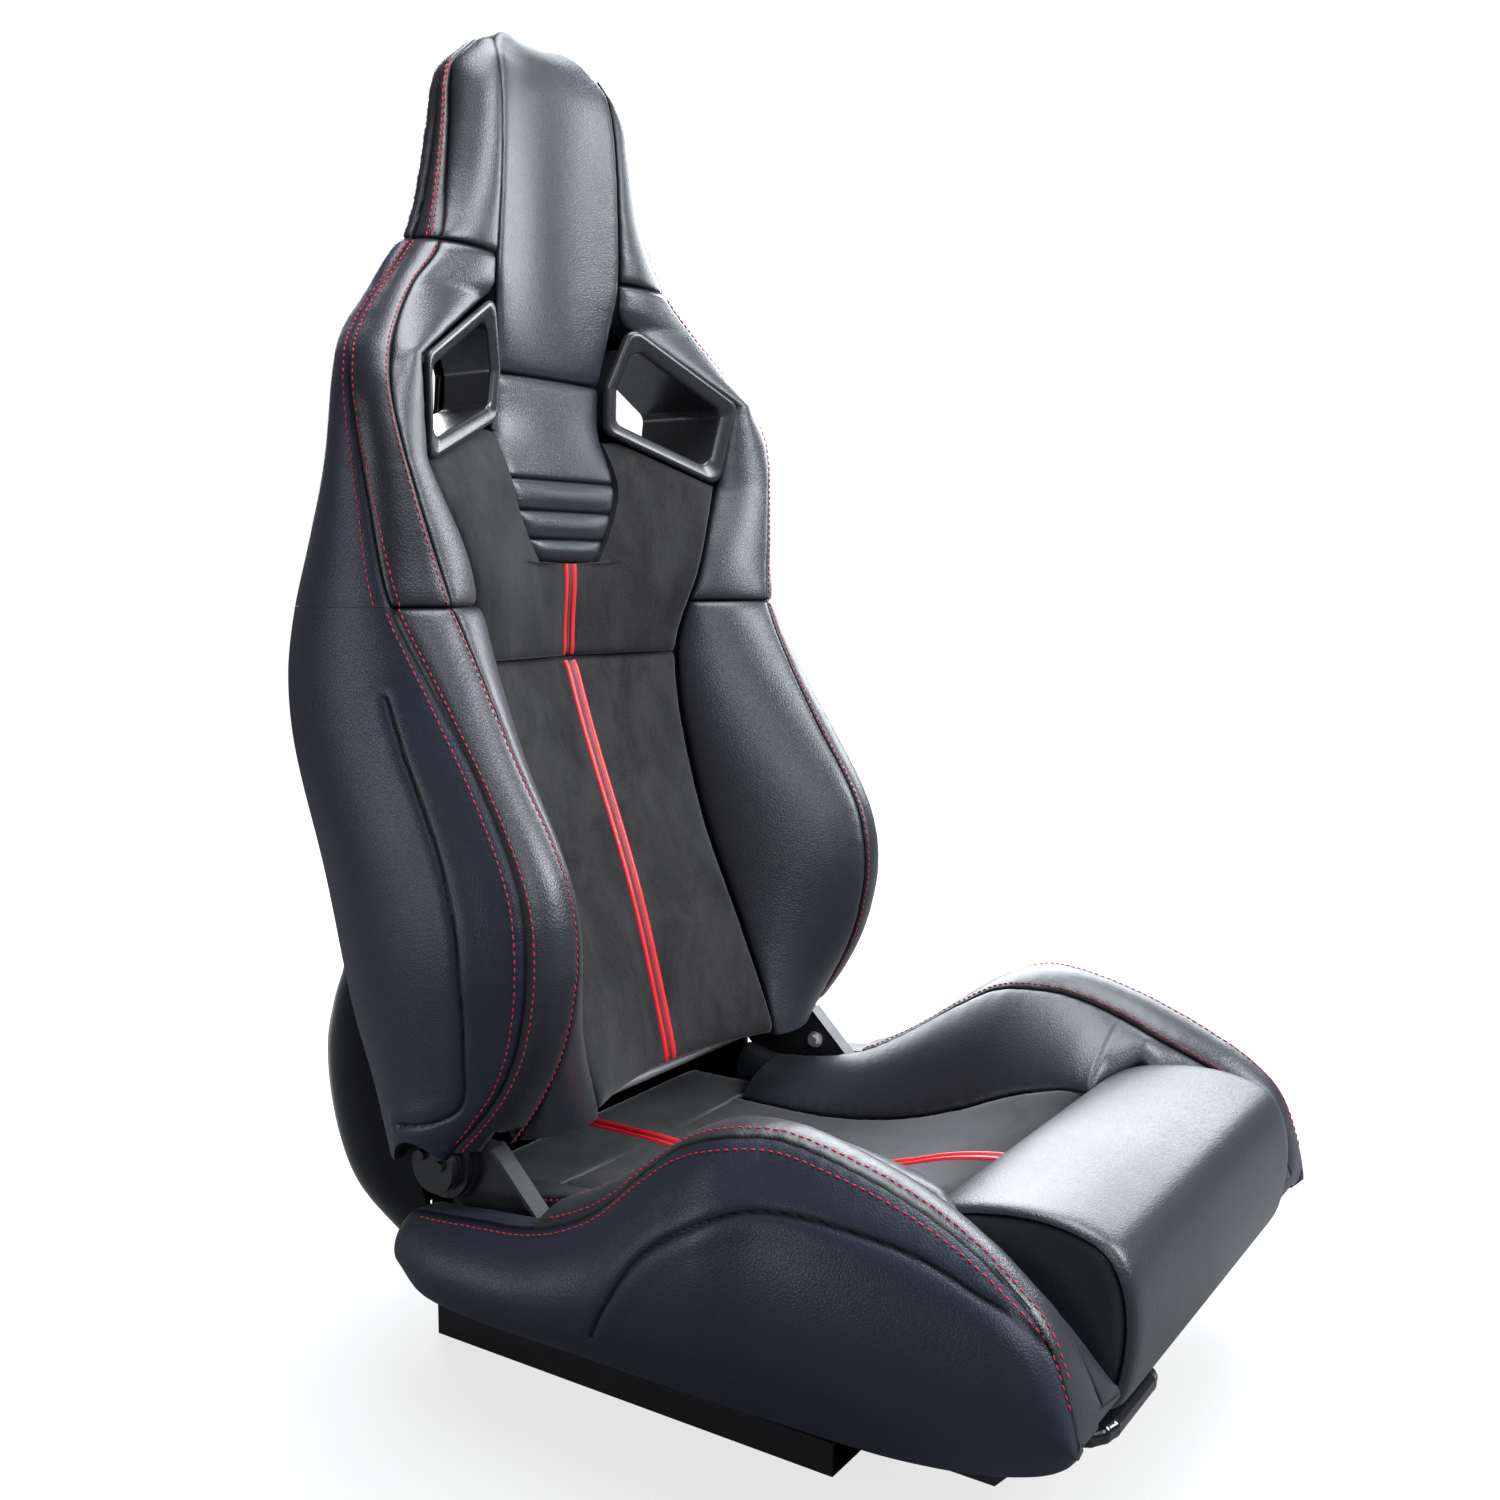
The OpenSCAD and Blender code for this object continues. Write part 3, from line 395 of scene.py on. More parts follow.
SPINE = [[165, 0, 90], [300, 0, 126], [485, 0, 190], [560, 0, 190], [710, 0, 207],
         [920, 0, 204], [945, 0, 208]]
PANEL_SEAM = [[150, 118, 64], [181, 118, 70], [250, 120, 100], [360, 120, 146],
              [487, 122, 171], [560, 143, 160], [629, 176, 168], [665, 78, 205]]
NECK_EDGE = [[561, 36, 190], [580, 48, 190], [602, 59, 190], [626, 65, 192], [669, 66, 209],
             [706, 63, 206]]
HEAD_SEAM = [[706, 63, 206], [757, 70, 196], [785, 73, 191], [851, 70, 188], [900, 68, 189],
             [930, 66, 193], [949, 63, 201]]
# Heights of the seams between the pads, and half the gap that each seam leaves.
PANEL_JOIN, NECK_LOW, SLOT_LOW, NECK_HIGH = 487, 561, 629, 706
SEAM = 0.5


def mirrored(edge):
    """The same row of points on the other side of the middle."""
    return edge * [-1, 1]


def points_at(x, y):
    """Points at distance x from the middle and depth or height y: each is one number for all
    the points or an array of them."""
    return np.stack(np.broadcast_arrays(np.asarray(x, float), np.asarray(y, float)), -1)


heights = sewn_steps(168, PANEL_JOIN - SEAM, 4.5)
edge = spot(PANEL_SEAM, heights) - [SEAM, 0]
middle = along(SPINE, heights, 2)
rear = points_at(edge[:, 0], np.maximum(edge[:, 1], middle) + 40)
dress(pad("back_center_suede",
          join(quilt([mirrored(edge), edge], heights, 6, [edge[:, 1] - middle]),
               rear, mirrored(rear)),
          heights, 2, nap), "backrest", "suede", "back_center", fill=0.8)

heights = np.unique(np.round(np.concatenate([
    sewn_steps(PANEL_JOIN + SEAM, NECK_LOW, 4.5)[:-5], [556, 559, 560.5, 562],
    np.linspace(565, SLOT_LOW, 16), sewn_steps(SLOT_LOW, 662, 3)[1:]]), 2))
split = heights > NECK_LOW
inner = np.where(split[:, None], spot(NECK_EDGE, heights) + [SEAM, 0],
                 points_at(0.05, along(SPINE, heights, 2)))
low = spot(PANEL_SEAM[:-1], heights)
above = heights - SLOT_LOW
high = points_at(176 - above * 2.75, 168 + above * 1.02)
outer = np.where((above < 0)[:, None], low, high) - [SEAM, 0]
points, near, marks = quilt([inner, outer], heights, 6, [0.0], sewn=[0, 1])
# Towards the neck pad the panel is flat as far out as the pad's foot, and bends beyond it.
NECK_FOOT = NECK_EDGE[0][1]
fade = np.where(split, 0, np.clip((heights - 490) / 71, 0, 1) ** 2)[:, None]
x, x_end = points[..., 0], outer[:, :1]
bent = np.maximum(0, (x - NECK_FOOT) / (x_end - NECK_FOOT)) - x / x_end
points[..., 1] += fade * (outer[:, 1:] - 190) * bent
# The suede's edge column by the neck pad counts as at a seam: it gets the seams' puckers and
# painted shade.
near = np.where(split[:, None], np.minimum(near, np.linspace(0.4, 400, near.shape[1])), near)
other = (mirrored(points)[:, ::-1], near[:, ::-1], [])
sunk = inner - [0.02, 0] + np.outer(np.clip((heights - 560.5) / 3, 0, 1), [0, 18])
wall = points_at(outer[:, 0], 214)
dress(pad("back_upper_suede",
          join(other, mirrored(sunk), sunk, (points, near, marks), wall, mirrored(wall)),
          heights, 2, nap), "backrest", "suede", "back_upper", fill=0.8)

CHANNELS = np.array([580, 602, 626])
close = np.array([-8, -5, -3, -1.8, -0.9, 0, 0.9, 1.8, 3, 5, 8])
heights = np.unique(np.round(np.concatenate(
    [sewn_steps(NECK_LOW + SEAM, NECK_HIGH - SEAM, 4),
     (CHANNELS[:, None] + close).ravel()]), 2))
edge = spot(NECK_EDGE, heights) + [0, 0.5]
away = np.abs(heights[:, None] - CHANNELS)
puff = 3.0 * np.exp(-((heights[:, None] - [570.5, 591, 614]) / 7.0) ** 2).sum(1)
middle = along(SPINE, heights, 2) - 3 - puff
points, near, marks = quilt([mirrored(edge), edge], heights, 4, [edge[:, 1] - middle])
points[..., 1] += (3.6 * np.exp(-away / 1.5)).sum(1)[:, None]
# The channels count as seams: they get the seams' puckers and painted shade.
near = np.minimum(near, away.min(1)[:, None] + 0.3)
rear = points_at(edge[:, 0], 224)
dress(pad("neck_pad_leather", join((points, near, marks), rear, mirrored(rear)), heights, 2,
          charcoal), "backrest", "leather", "neck_pad", fill=0.8)

# ---------- backrest: head ----------
# The head restraint is part of the backrest: one leather pad down the middle between two side
# pads, its top pulled over and down behind.

HEAD_TOP, HEAD_TURN = 964.5, 936


def head_round(z):
    """How far the top is rounded in: a quarter circle above HEAD_TURN, scaled to 26 mm."""
    u = np.clip((z - HEAD_TURN) / (HEAD_TOP - HEAD_TURN), 0, 1)
    return 26 * (1 - np.sqrt(1 - u * u))


CREST = [[150, 190, 94], [185, 190, 66], [224, 191, 42], [262, 192, 28], [311, 192, 22],
         [360, 193, 33], [426, 192, 72], [495, 192, 109], [532, 196, 125], [601, 214, 136],
         [666, 226, 146], [700, 215, 158], [730, 192, 172], [755, 168, 182], [784, 137, 189],
         [834, 116, 202], [880, 105, 208], [922, 97, 212], [936, 84, 213], [948, 70, 214]]
WELT = [[150, 232, 116], [168, 232, 100], [185, 230, 84], [214, 227, 62], [250, 228, 45],
        [300, 231, 35], [348, 229, 42], [409, 226, 74], [470, 225, 115], [530, 231, 149],
        [600, 235, 164], [665, 237, 175], [700, 229, 184], [722, 210, 196], [745, 188, 202],
        [770, 164, 206], [800, 139, 210], [865, 116, 215], [905, 107, 217], [922, 99, 218],
        [936, 83, 220], [948, 68, 221]]
REAR = [[62, 203, 150], [104, 222, 157], [154, 228, 164], [200, 228, 178], [250, 228, 197],
        [345, 228, 222], [430, 227, 250], [480, 226, 256], [525, 224, 250], [576, 222, 234],
        [630, 220, 218], [690, 209, 214], [720, 195, 218], [745, 176, 217], [770, 160, 218],
        [800, 137, 221], [832, 124, 223], [865, 113, 226], [905, 100, 229], [922, 93, 231],
        [936, 79, 235], [948, 64, 238]]
# Height, and how far the side panel swells there.
SIDE_BULGE = [[150, 8], [200, 16], [300, 22], [430, 20], [530, 12], [600, 8], [700, 6], [950, 4]]

turn = HEAD_TURN + (HEAD_TOP - HEAD_TURN) * np.sin(np.linspace(0.06, 1, 14) * np.pi / 2)
heights = np.concatenate([sewn_steps(NECK_HIGH + SEAM, 930, 5)[:-5], [926, 931, HEAD_TURN], turn])
drop = head_round(heights)
edge = np.stack([along(HEAD_SEAM, heights, 1) - SEAM - drop * 1.6,
                 along(HEAD_SEAM, heights, 2) + drop * 0.7], -1)
middle = along(SPINE, np.minimum(heights, 940), 2) + drop * 0.8
rear = points_at(edge[:, 0],
                  np.where(heights < 930, 227, along(REAR, heights, 2) - 6 - drop * 0.3))
dress(pad("head_pad_leather",
          join(quilt([mirrored(edge), edge], heights, 5, [edge[:, 1] - middle], ends=(1, 0)),
               rear, mirrored(rear)),
          heights, 2, charcoal, bend=75), "backrest", "leather", "head_pad", fill=0.9)

SHOULDER_LOW, SHOULDER_HIGH = 530, 790
SIDES = ((False, "right"), (True, "left"))
for mirror, name in SIDES:
    heights = np.concatenate([sewn_steps(SHOULDER_HIGH + SEAM, 918, 5)[:-5],
                              [912, 917, 922, 927, 931, 935, 938, 941, 944, 946, 948]])
    drop = head_round(heights)
    fade = np.minimum(1, (952 - heights) / 40)
    a = np.stack([along(HEAD_SEAM, heights, 1) + SEAM,
                  along(HEAD_SEAM, heights, 2) + drop * 0.7], -1)
    c, w, d = (spot(line, heights) for line in (CREST, WELT, REAR))
    dress(pad("head_side_leather_" + name,
              join(quilt([a, c, w, d], heights, 4, [5 * fade, 2 * fade, 3 * fade], crown=1.2,
                         tuck=2.0, ends=(1, 0)),
                   d - [4, 5], points_at(a[:, 0], d[:, 1] - 5)),
              heights, 2, charcoal, mirror, bend=75),
          "backrest", "leather", "head_side_" + name, fill=0.9)

# ---------- backrest: shoulders and bolsters ----------
# Foam wings with a narrow border panel between a single seam on the crest and a twin-stitched
# seam at the corner, and a broad side panel that wraps back to the moulded shell.

SHOULDER_EDGE = np.array([[629, 177, 168], [700, 189, 155], [757, 83, 196], [764, 74, 194],
                          [790, 74, 191]], float)
PIVOT = np.array([0, 130, 147.0])
# Depth and height along the curved seam sewn across the side panel.
POCKET = [(147, 470), (128, 431), (107, 393), (90, 355), (80, 317), (78, 278), (81, 237),
          (88, 202), (109, 188), (140, 181)]


def cut(made, *cutters):
    """Takes the cutters' room out of a piece, for good, and removes the cutters."""
    for cutter in cutters:
        step = made.modifiers.new("room", "BOOLEAN")
        step.object = cutter
        step.solver = "EXACT"
    bpy.context.view_layer.update()
    shaped = made.evaluated_get(bpy.context.evaluated_depsgraph_get())
    mesh = bpy.data.meshes.new_from_object(shaped)
    made.modifiers.clear()
    old, made.data = made.data, mesh
    mesh.name = made.name
    bpy.data.meshes.remove(old)
    for cutter in cutters:
        bpy.data.objects.remove(cutter)


def prism(name, outline, x0, x1):
    """A closed prism from x0 to x1 whose side view is outline, anticlockwise from +X."""
    points = [[x, y, z] for x in (x0, x1) for y, z in outline]
    return piece(name, points, tube_faces(2, len(outline)), charcoal)


def disc(radius, count=40):
    """Points of a circle round the recline axis, seen from +X."""
    a = np.linspace(0, 2 * np.pi, count, endpoint=False)
    return np.stack([PIVOT[1] + radius * np.cos(a), PIVOT[2] + radius * np.sin(a)], -1).tolist()


def seam_across(ring_of, views, line):
    """Sinks a sewn line into a side panel: views are the (y, z) of its points, and the panel
    goes in by 1.8 exp(-(d / 1.9)^2) at distance d, and puffs out a little beyond."""
    points, near, marks = ring_of
    line = np.asarray(line, float)
    run = np.concatenate([[0], np.cumsum(np.linalg.norm(np.diff(line, axis=0), axis=1))])
    line = spot(np.column_stack([run, line]), np.linspace(0, run[-1], 160))
    p, q = line[:-1], line[1:]
    v = views[..., None, :] - p
    step = q - p
    u = np.clip((v * step).sum(-1) / (step * step).sum(-1), 0, 1)
    away = np.linalg.norm(v - u[..., None] * step, axis=-1).min(-1)
    points = points.copy()
    points[..., 0] -= 1.8 * np.exp(-(away / 1.9) ** 2) - 0.7 * np.exp(-((away - 8) / 6) ** 2)
    return points, np.minimum(near, away * 1.2 + 0.2), marks


for mirror, name in SIDES:
    sign = -1 if mirror else 1
    heights = np.unique(np.round(np.concatenate([
        [SHOULDER_LOW + 0.1], sewn_steps(SHOULDER_LOW + SEAM, SLOT_LOW, 5)[:-5],
        np.linspace(623, 700, 17), np.linspace(700, 757, 17), [760.5],
        sewn_steps(764, SHOULDER_HIGH - SEAM, 4)[1:]]), 2))
    a = np.stack([np.interp(heights, SHOULDER_EDGE[:, 0], SHOULDER_EDGE[:, k])
                  for k in (1, 2)], -1)
    a = np.where((heights < SLOT_LOW)[:, None], spot(PANEL_SEAM[:-1], heights) + [SEAM, 0], a)
    c, w, d = (spot(line, heights) for line in (CREST, WELT, REAR))
    inner = points_at(d[:, 0] - 10, np.minimum(d[:, 1] - 8, 222))
    fold = np.stack([np.minimum(inner[:, 0], np.maximum(a[:, 0] + 2, w[:, 0] - 24)),
                     np.minimum(np.maximum(a[:, 1], c[:, 1]) + 40, d[:, 1] - 6)], -1)
    last = points_at(a[:, 0], np.maximum(a[:, 1] + 12, fold[:, 1]))
    ring_of = join(quilt([a, c, w, d], heights, 5, [5.0, 3.5, along(SIDE_BULGE, heights)],
                         crown=1.6, tuck=2.2, sewn=[1, 1, 1, 0], ends=((1, 1), (1, 1), (0, 1))),
                   inner, fold, last)
    shoulder = pad("shoulder_leather_" + name, ring_of, heights, 2, charcoal, mirror, bend=70)
    shoulder.data.materials.append(navy)
    columns, marks = np.arange(ring_of[0].shape[1]), ring_of[2]
    dark = (columns >= marks[2]) & (columns < marks[3])
    dark = np.tile(np.roll(dark[::-1], -1) if mirror else dark, len(heights) - 1)
    shoulder.data.polygons.foreach_set("material_index", np.append(dark, [0, 0]).astype(np.int32))
    dress(shoulder, "backrest", "leather", "shoulder_" + name, fill=0.9)

    heights = sewn_steps(165, SHOULDER_LOW - SEAM, 5)
    a = spot(PANEL_SEAM, heights) + [SEAM, 0]
    c, w = spot(CREST, heights), spot(WELT, heights)
    back = np.maximum(a[:, 1], along(SPINE, heights, 2)) + 38
    bolster = pad("bolster_leather_" + name,
                  join(quilt([a, c, w], heights, 5, [9.0, 4.0], ends=(0, 1)),
                       points_at(219.8, w[:, 1] + 28),
                       points_at(198.0, w[:, 1] + 36),
                       points_at(a[:, 0] + 20, back), points_at(a[:, 0], back)),
                  heights, 2, charcoal, mirror)
    # Room behind the pads for the recliner's plate and arm, and for its hub.
    spans = [sorted((sign * 197.5, sign * 218)), sorted((sign * 190, sign * 270))]
    arm_room = [[30, 140], [150, 140], [130, 200], [94, 190], [30, 158]]
    cut(bolster, prism("room_a", disc(56), *spans[0]), prism("room_b", arm_room, *spans[0]),
        prism("room_c", disc(24), *spans[1]))
    dress(bolster, "backrest", "leather", "back_bolster_" + name, fill=0.9)

    heights = sewn_steps(151, SHOULDER_LOW - 0.1, 1.6)
    w, d = spot(WELT, heights), spot(REAR, heights)
    skirt = quilt([w, d], heights, 1.4, [along(SIDE_BULGE, heights)], crown=1.6, tuck=2.2,
                  sewn=[1, 0], ends=(0, 0))
    view = np.stack([skirt[0][..., 1], np.repeat(heights[:, None], skirt[0].shape[1], 1)], -1)
    wrap = pad("back_side_leather_" + name,
               join(seam_across(skirt, view, POCKET),
                    points_at(219.5, d[:, 1] - 2),
                    points_at(219.8, w[:, 1] + 36)),
               heights, 2, navy, mirror)
    cut(wrap, prism("room_d", disc(23), *spans[1]))
    dress(wrap, "backrest", "side_leather", "back_side_" + name, fill=0.9)

# ---------- cushion ----------
# A suede centre panel, a thick leather roll across the front, two bolsters with border panels,
# and side panels that hang over the rails. Lines are rows of depth, distance from the middle,
# height.

SEAT_LINE = [[-206, 0, 150], [-190, 0, 148], [-154, 0, 140], [-118, 0, 128], [-60, 0, 112],
             [0, 0, 103], [60, 0, 100], [104, 0, 101]]
SEAT_SEAM = [[-206, 120, 166], [-187, 120, 165], [-146, 120, 152], [-104, 120, 133],
             [-51, 120, 115], [15, 120, 104], [104, 120, 103]]
SEAT_CREST = [[-342, 194, 104], [-325, 198, 142], [-300, 197, 164], [-279, 194, 177],
              [-239, 188, 195], [-202, 190, 209], [-161, 190, 219], [-120, 186, 219],
              [-96, 189, 212], [-60, 190, 191], [-22, 190, 166], [16, 190, 144], [57, 190, 131],
              [104, 190, 124]]
SEAT_WELT = [[-342, 229, 96], [-338, 230, 116], [-325, 231, 153], [-302, 231, 177],
             [-271, 228, 196], [-234, 228, 212], [-197, 230, 223], [-158, 233, 230],
             [-125, 243, 227], [-93, 241, 213], [-63, 240, 189], [-31, 240, 160],
             [2, 241, 142], [35, 240, 132], [71, 240, 128], [107, 240, 124], [132, 240, 121],
             [142, 238, 114]]
SEAT_HEM = [[-342, 226, 92], [-336, 228, 85], [-325, 229, 78], [-310, 229, 72],
            [-293, 229, 67], [-259, 230, 61], [-215, 232, 58], [-17, 234, 56], [120, 232, 57],
            [142, 232, 74]]
# Depth, and how far the side panel swells there; then the side panel's curved seam.
SEAT_BULGE = [[-342, 4], [-300, 20], [-200, 30], [0, 26], [100, 22], [142, 12]]
ARC = [(-39, 87), (-58, 118), (-81, 150), (-111, 173), (-146, 190), (-179, 194), (-218, 191),
       (-254, 184), (-289, 171), (-312, 161), (-329, 145), (-337, 129)]
FOAM_FLOOR = 72

depths = np.concatenate([sewn_steps(-206 + SEAM, 104.2, 4.5)[:-5], [98, 101, 104.2, 105],
                         np.linspace(110, 180, 15), [183, 186, 188, 190]])
flap = depths > 104.5
fall = np.maximum(0, depths - 180) ** 2 / 12
edge = np.where(flap[:, None], points_at(165.0, 102 - fall),
                spot(SEAT_SEAM, depths) - [SEAM, 0])
middle = along(SEAT_LINE, depths, 2) - fall
under = points_at(edge[:, 0], FOAM_FLOOR)
dress(pad("cushion_center_suede",
          join(quilt([mirrored(edge), edge], depths, 6, [middle - edge[:, 1]], face=-1,
                     ends=(1, 0)), under, mirrored(under)),
          depths, 1, nap), "seat", "suede", "cushion_center", fill=0.8)

ROLL = np.array([[-209, 120], [-209, 158], [-214, 170], [-232, 180], [-256, 186], [-284, 189],
                 [-310, 187], [-332, 179], [-343, 163], [-347.5, 140], [-346, 112], [-339, 88],
                 [-328, 81], [-312, 84.5], [-232, 92.5]], float)


def rounded(outline, count):
    """A closed outline drawn as a cubic through its points, evenly spaced along its length."""
    ring = np.vstack([outline[-3:], outline, outline[:3]])
    where = np.concatenate([[0], np.cumsum(np.linalg.norm(np.diff(ring, axis=0), axis=1))])
    table = np.column_stack([where, ring])
    t = np.linspace(where[3], where[-3], count, endpoint=False)
    return np.stack([along(table, t, 1), along(table, t, 2)], -1)


ring = rounded(ROLL, 110)
centre = np.array([-275, 132.0])
ROLL_HALF = 162
across = sewn_steps(-ROLL_HALF, ROLL_HALF, 5)
gap = ROLL_HALF - np.abs(across)
shrink = 1 - 0.07 * np.exp(-gap / 2.6) + 0.012 * (1 - np.exp(-gap / 9))
# The rounded ends: size against the full section, distance beyond ROLL_HALF, and from the seam.
CHEEK = np.array([[0.906, -1.8, 0.1], [0.885, -0.6, 2.0], [0.80, 1.0, 8.0], [0.45, 1.8, 30.0]])
across = np.concatenate([-ROLL_HALF - CHEEK[::-1, 1], across, ROLL_HALF + CHEEK[:, 1]])
shrink = np.concatenate([CHEEK[::-1, 0], shrink, CHEEK[:, 0]])
gap = np.concatenate([CHEEK[::-1, 2], gap + 3.0, CHEEK[:, 2]])
sections = centre + (ring - centre)[None] * shrink[:, None, None]
closeness = np.repeat(gap[:, None], len(ring), 1)
points = np.concatenate([np.repeat(across[:, None], len(ring), 1)[..., None], sections], -1)
dress(piece("cushion_roll_leather", points.reshape(-1, 3),
            tube_faces(*points.shape[:2], turn=-1), charcoal, closeness.ravel()),
      "seat", "leather", "cushion_roll", fill=0.9)

# Behind TAIL_FROM the bolster is a narrow tail beside the backrest. In front its cover comes
# down from the crest at LIP_SLOPE and laps over the end of the roll.
TAIL_FROM = 24
LIP_SLOPE = 0.614


def tuck_under(w, h):
    """Point inside the welt w, above the hem h, where the bolster and the side pad part."""
    return np.stack([np.maximum(w[:, 0] - 17, 222.5),
                     w[:, 1] - np.minimum(19, (w[:, 1] - h[:, 1]) / 2)], -1)


for mirror, name in SIDES:
    depths = np.concatenate([[-341, -339.5], np.linspace(-338, -208.5, 66),
                             np.linspace(-207.5, TAIL_FROM, 116), [TAIL_FROM + 0.5],
                             np.linspace(27, 104, 36), np.linspace(104.15, 140, 12)])
    front, tail, end = depths < -208, depths > TAIL_FROM, depths > 104.1
    beyond = np.maximum(0, depths - 104)
    c = spot(SEAT_CREST, depths)
    c[:, 1] += 6 * np.minimum(1, beyond / 30) ** 2
    a = spot(SEAT_SEAM, depths) + [SEAM, 0]
    a[end, 0] = 166
    top = np.interp(-depths, [209, 214, 232, 256, 284, 310, 332, 342],
                    [160, 172, 182, 188, 191, 189, 181, 170])
    reach = np.clip(c[:, 0] - (c[:, 1] - top) / LIP_SLOPE, 120.5, 165.5)
    drop = np.interp(-depths, [208, 234, 262], [0, 0, 35])
    a[front, 0] = reach[front]
    a[front, 1] = np.maximum(101, c[:, 1] - LIP_SLOPE * (c[:, 0] - reach) - drop)[front]
    w = spot(SEAT_WELT, depths)
    w[tail] = points_at(193.0, c[tail, 1] - 1)
    k = tuck_under(w, spot(SEAT_HEM, depths)) - [2, 0]
    k[tail] = w[tail] - [0, 5]
    wall = np.where(tail, 192.9, 198.7)
    base = points_at(np.minimum(k[:, 0], 222), np.minimum(k[:, 1] - 2, 102))
    low = np.minimum(np.where(front, 97, FOAM_FLOOR + beyond * 0.55), a[:, 1] - 4)
    inside = np.where(front, 165.5, a[:, 0])
    dress(pad("cushion_bolster_leather_" + name,
              join(quilt([a, c, w], depths, 5, [np.interp(-depths, [150, 262], [6.0, 4.0]),
                                               np.where(tail, 0, 4.0)],
                         face=-1, crown=2.0, tuck=2.4, ends=(0, 0)),
                   k, base, points_at(wall, base[:, 1] - 0.1),
                   points_at(wall - 0.1, low), points_at(inside, low),
                   points_at(inside, a[:, 1] - 3)),
              depths, 1, charcoal, mirror),
          "seat", "leather", "cushion_bolster_" + name, fill=0.9)

    depths = np.concatenate([[-342, -341.2], np.linspace(-340, -312, 22),
                             np.linspace(-310, TAIL_FROM, 252), [TAIL_FROM + 0.5],
                             np.linspace(30, 124, 20), [128, 132, 136, 139, 142]])
    tail = depths > TAIL_FROM
    w = spot(SEAT_WELT, depths) - [0, SEAM]
    h = spot(SEAT_HEM, depths)
    k = tuck_under(w, h)
    k[tail] = points_at(217.5, w[tail, 1] - 14)
    lead = (w + k) / 2
    lead[tail] = points_at(217.5, w[tail, 1] - 1)
    skirt = quilt([w, h], depths, 1.3, [along(SEAT_BULGE, depths)], face=-1, crown=2.0, tuck=2.6,
                  sewn=[1, 0], ends=(0, 0))
    view = np.stack([np.repeat(depths[:, None], skirt[0].shape[1], 1), skirt[0][..., 1]], -1)
    dress(pad("cushion_side_leather_" + name,
              join(lead, seam_across(skirt, view, ARC), h - [2, -0.5],
                    points_at(np.maximum(k[:, 0], 223), (k[:, 1] + h[:, 1]) / 2), k),
              depths, 1, navy, mirror),
          "seat", "side_leather", "cushion_side_" + name, fill=0.9)

# ---------- red trim and stitching ----------
# A double red piping with a dark red centre is sewn down the middle of the suede. Red thread
# runs in twin rows beside the corner seams and in single rows along the crest seams.


def plain(name, colour, rough, metallic=0.0, coat=0.0, specular=0.5):
    """A material of one colour, with a faint unevenness of its gloss."""
    material, tree, shader = blank(name)
    shader["Base Color"].default_value = (*colour, 1)
    shader["Metallic"].default_value = metallic
    shader["Coat Weight"].default_value = coat
    shader["Coat Roughness"].default_value = 0.08
    shader["Specular IOR Level"].default_value = specular
    where = wire(tree, "ShaderNodeTexCoord").outputs["Object"]
    noise = wire(tree, "ShaderNodeTexNoise", Vector=where, Scale=60.0, Detail=3.0)
    gloss = wire(tree, "ShaderNodeMapRange", Value=noise.outputs["Fac"], From_Min=0.3,
                 From_Max=0.7, To_Min=rough * 0.85, To_Max=rough * 1.15)
    tree.links.new(gloss.outputs[0], shader["Roughness"])
    return material


red_vinyl = plain("red_vinyl", (0.62, 0.009, 0.017), 0.38, coat=0.2)
dark_red = plain("dark_red_vinyl", (0.10, 0.004, 0.008), 0.5)
red_thread = plain("red_thread", (0.42, 0.028, 0.050), 0.75, specular=0.2)


def piping(name, path, body):
    """Double piping along a path down the middle: one profile, with two ridges 4.4 mm wide and
    15 mm overall, carried square to the path, its groove in the second colour."""
    half = np.array([[0, 0.3], [2.4, 0.2], [2.9, 0.5], [3.8, 1.5], [5.0, 1.9], [6.2, 1.5],
                     [7.2, 0.3], [7.5, -2.5]])
    across, raised = np.concatenate([half[:0:-1] * [-1, 1], half]).T
    way = unit(np.gradient(path, axis=0))
    out = np.cross([1, 0, 0], way)
    points = path[:, None] + out[:, None] * raised[None, :, None]
    points[..., 0] += across
    rows, count = points.shape[:2]
    made = piece(name, points.reshape(-1, 3), tube_faces(rows, count), red_vinyl, bend=80)
    made.data.materials.append(dark_red)
    column = np.arange(count)
    dark = np.tile((column >= 5) & (column <= 8), rows - 1).astype(np.int32)
    made.data.polygons.foreach_set("material_index", np.concatenate([dark, [0, 0]]))
    dress(made, body, "suede")


front = grids["back_center_suede"][0]
column = front[:, front.shape[1] // 2 - 1]
path = column[np.abs(column[:, 2] - 327) < 157] * [0, 1, 1]
piping("piping_back_lower", path, "backrest")
upper, marks = grids["back_upper_suede"]
column = upper[:, marks[0]]
path = column[(column[:, 2] > PANEL_JOIN + 2) & (column[:, 2] < NECK_LOW)] * [0, 1, 1]
piping("piping_back_upper", path, "backrest")
front = grids["cushion_center_suede"][0]
column = front[:, front.shape[1] // 2 - 1]
path = column[(column[:, 1] > -204.5) & (column[:, 1] < 180)] * [0, 1, 1]
piping("piping_cushion", path, "seat")

# A stitch: place along it and thickness, in half lengths and radii.
CAPSULE = np.array([[-1, 0.3], [-0.8, 0.85], [0, 1.0], [0.8, 0.85], [1, 0.3]])


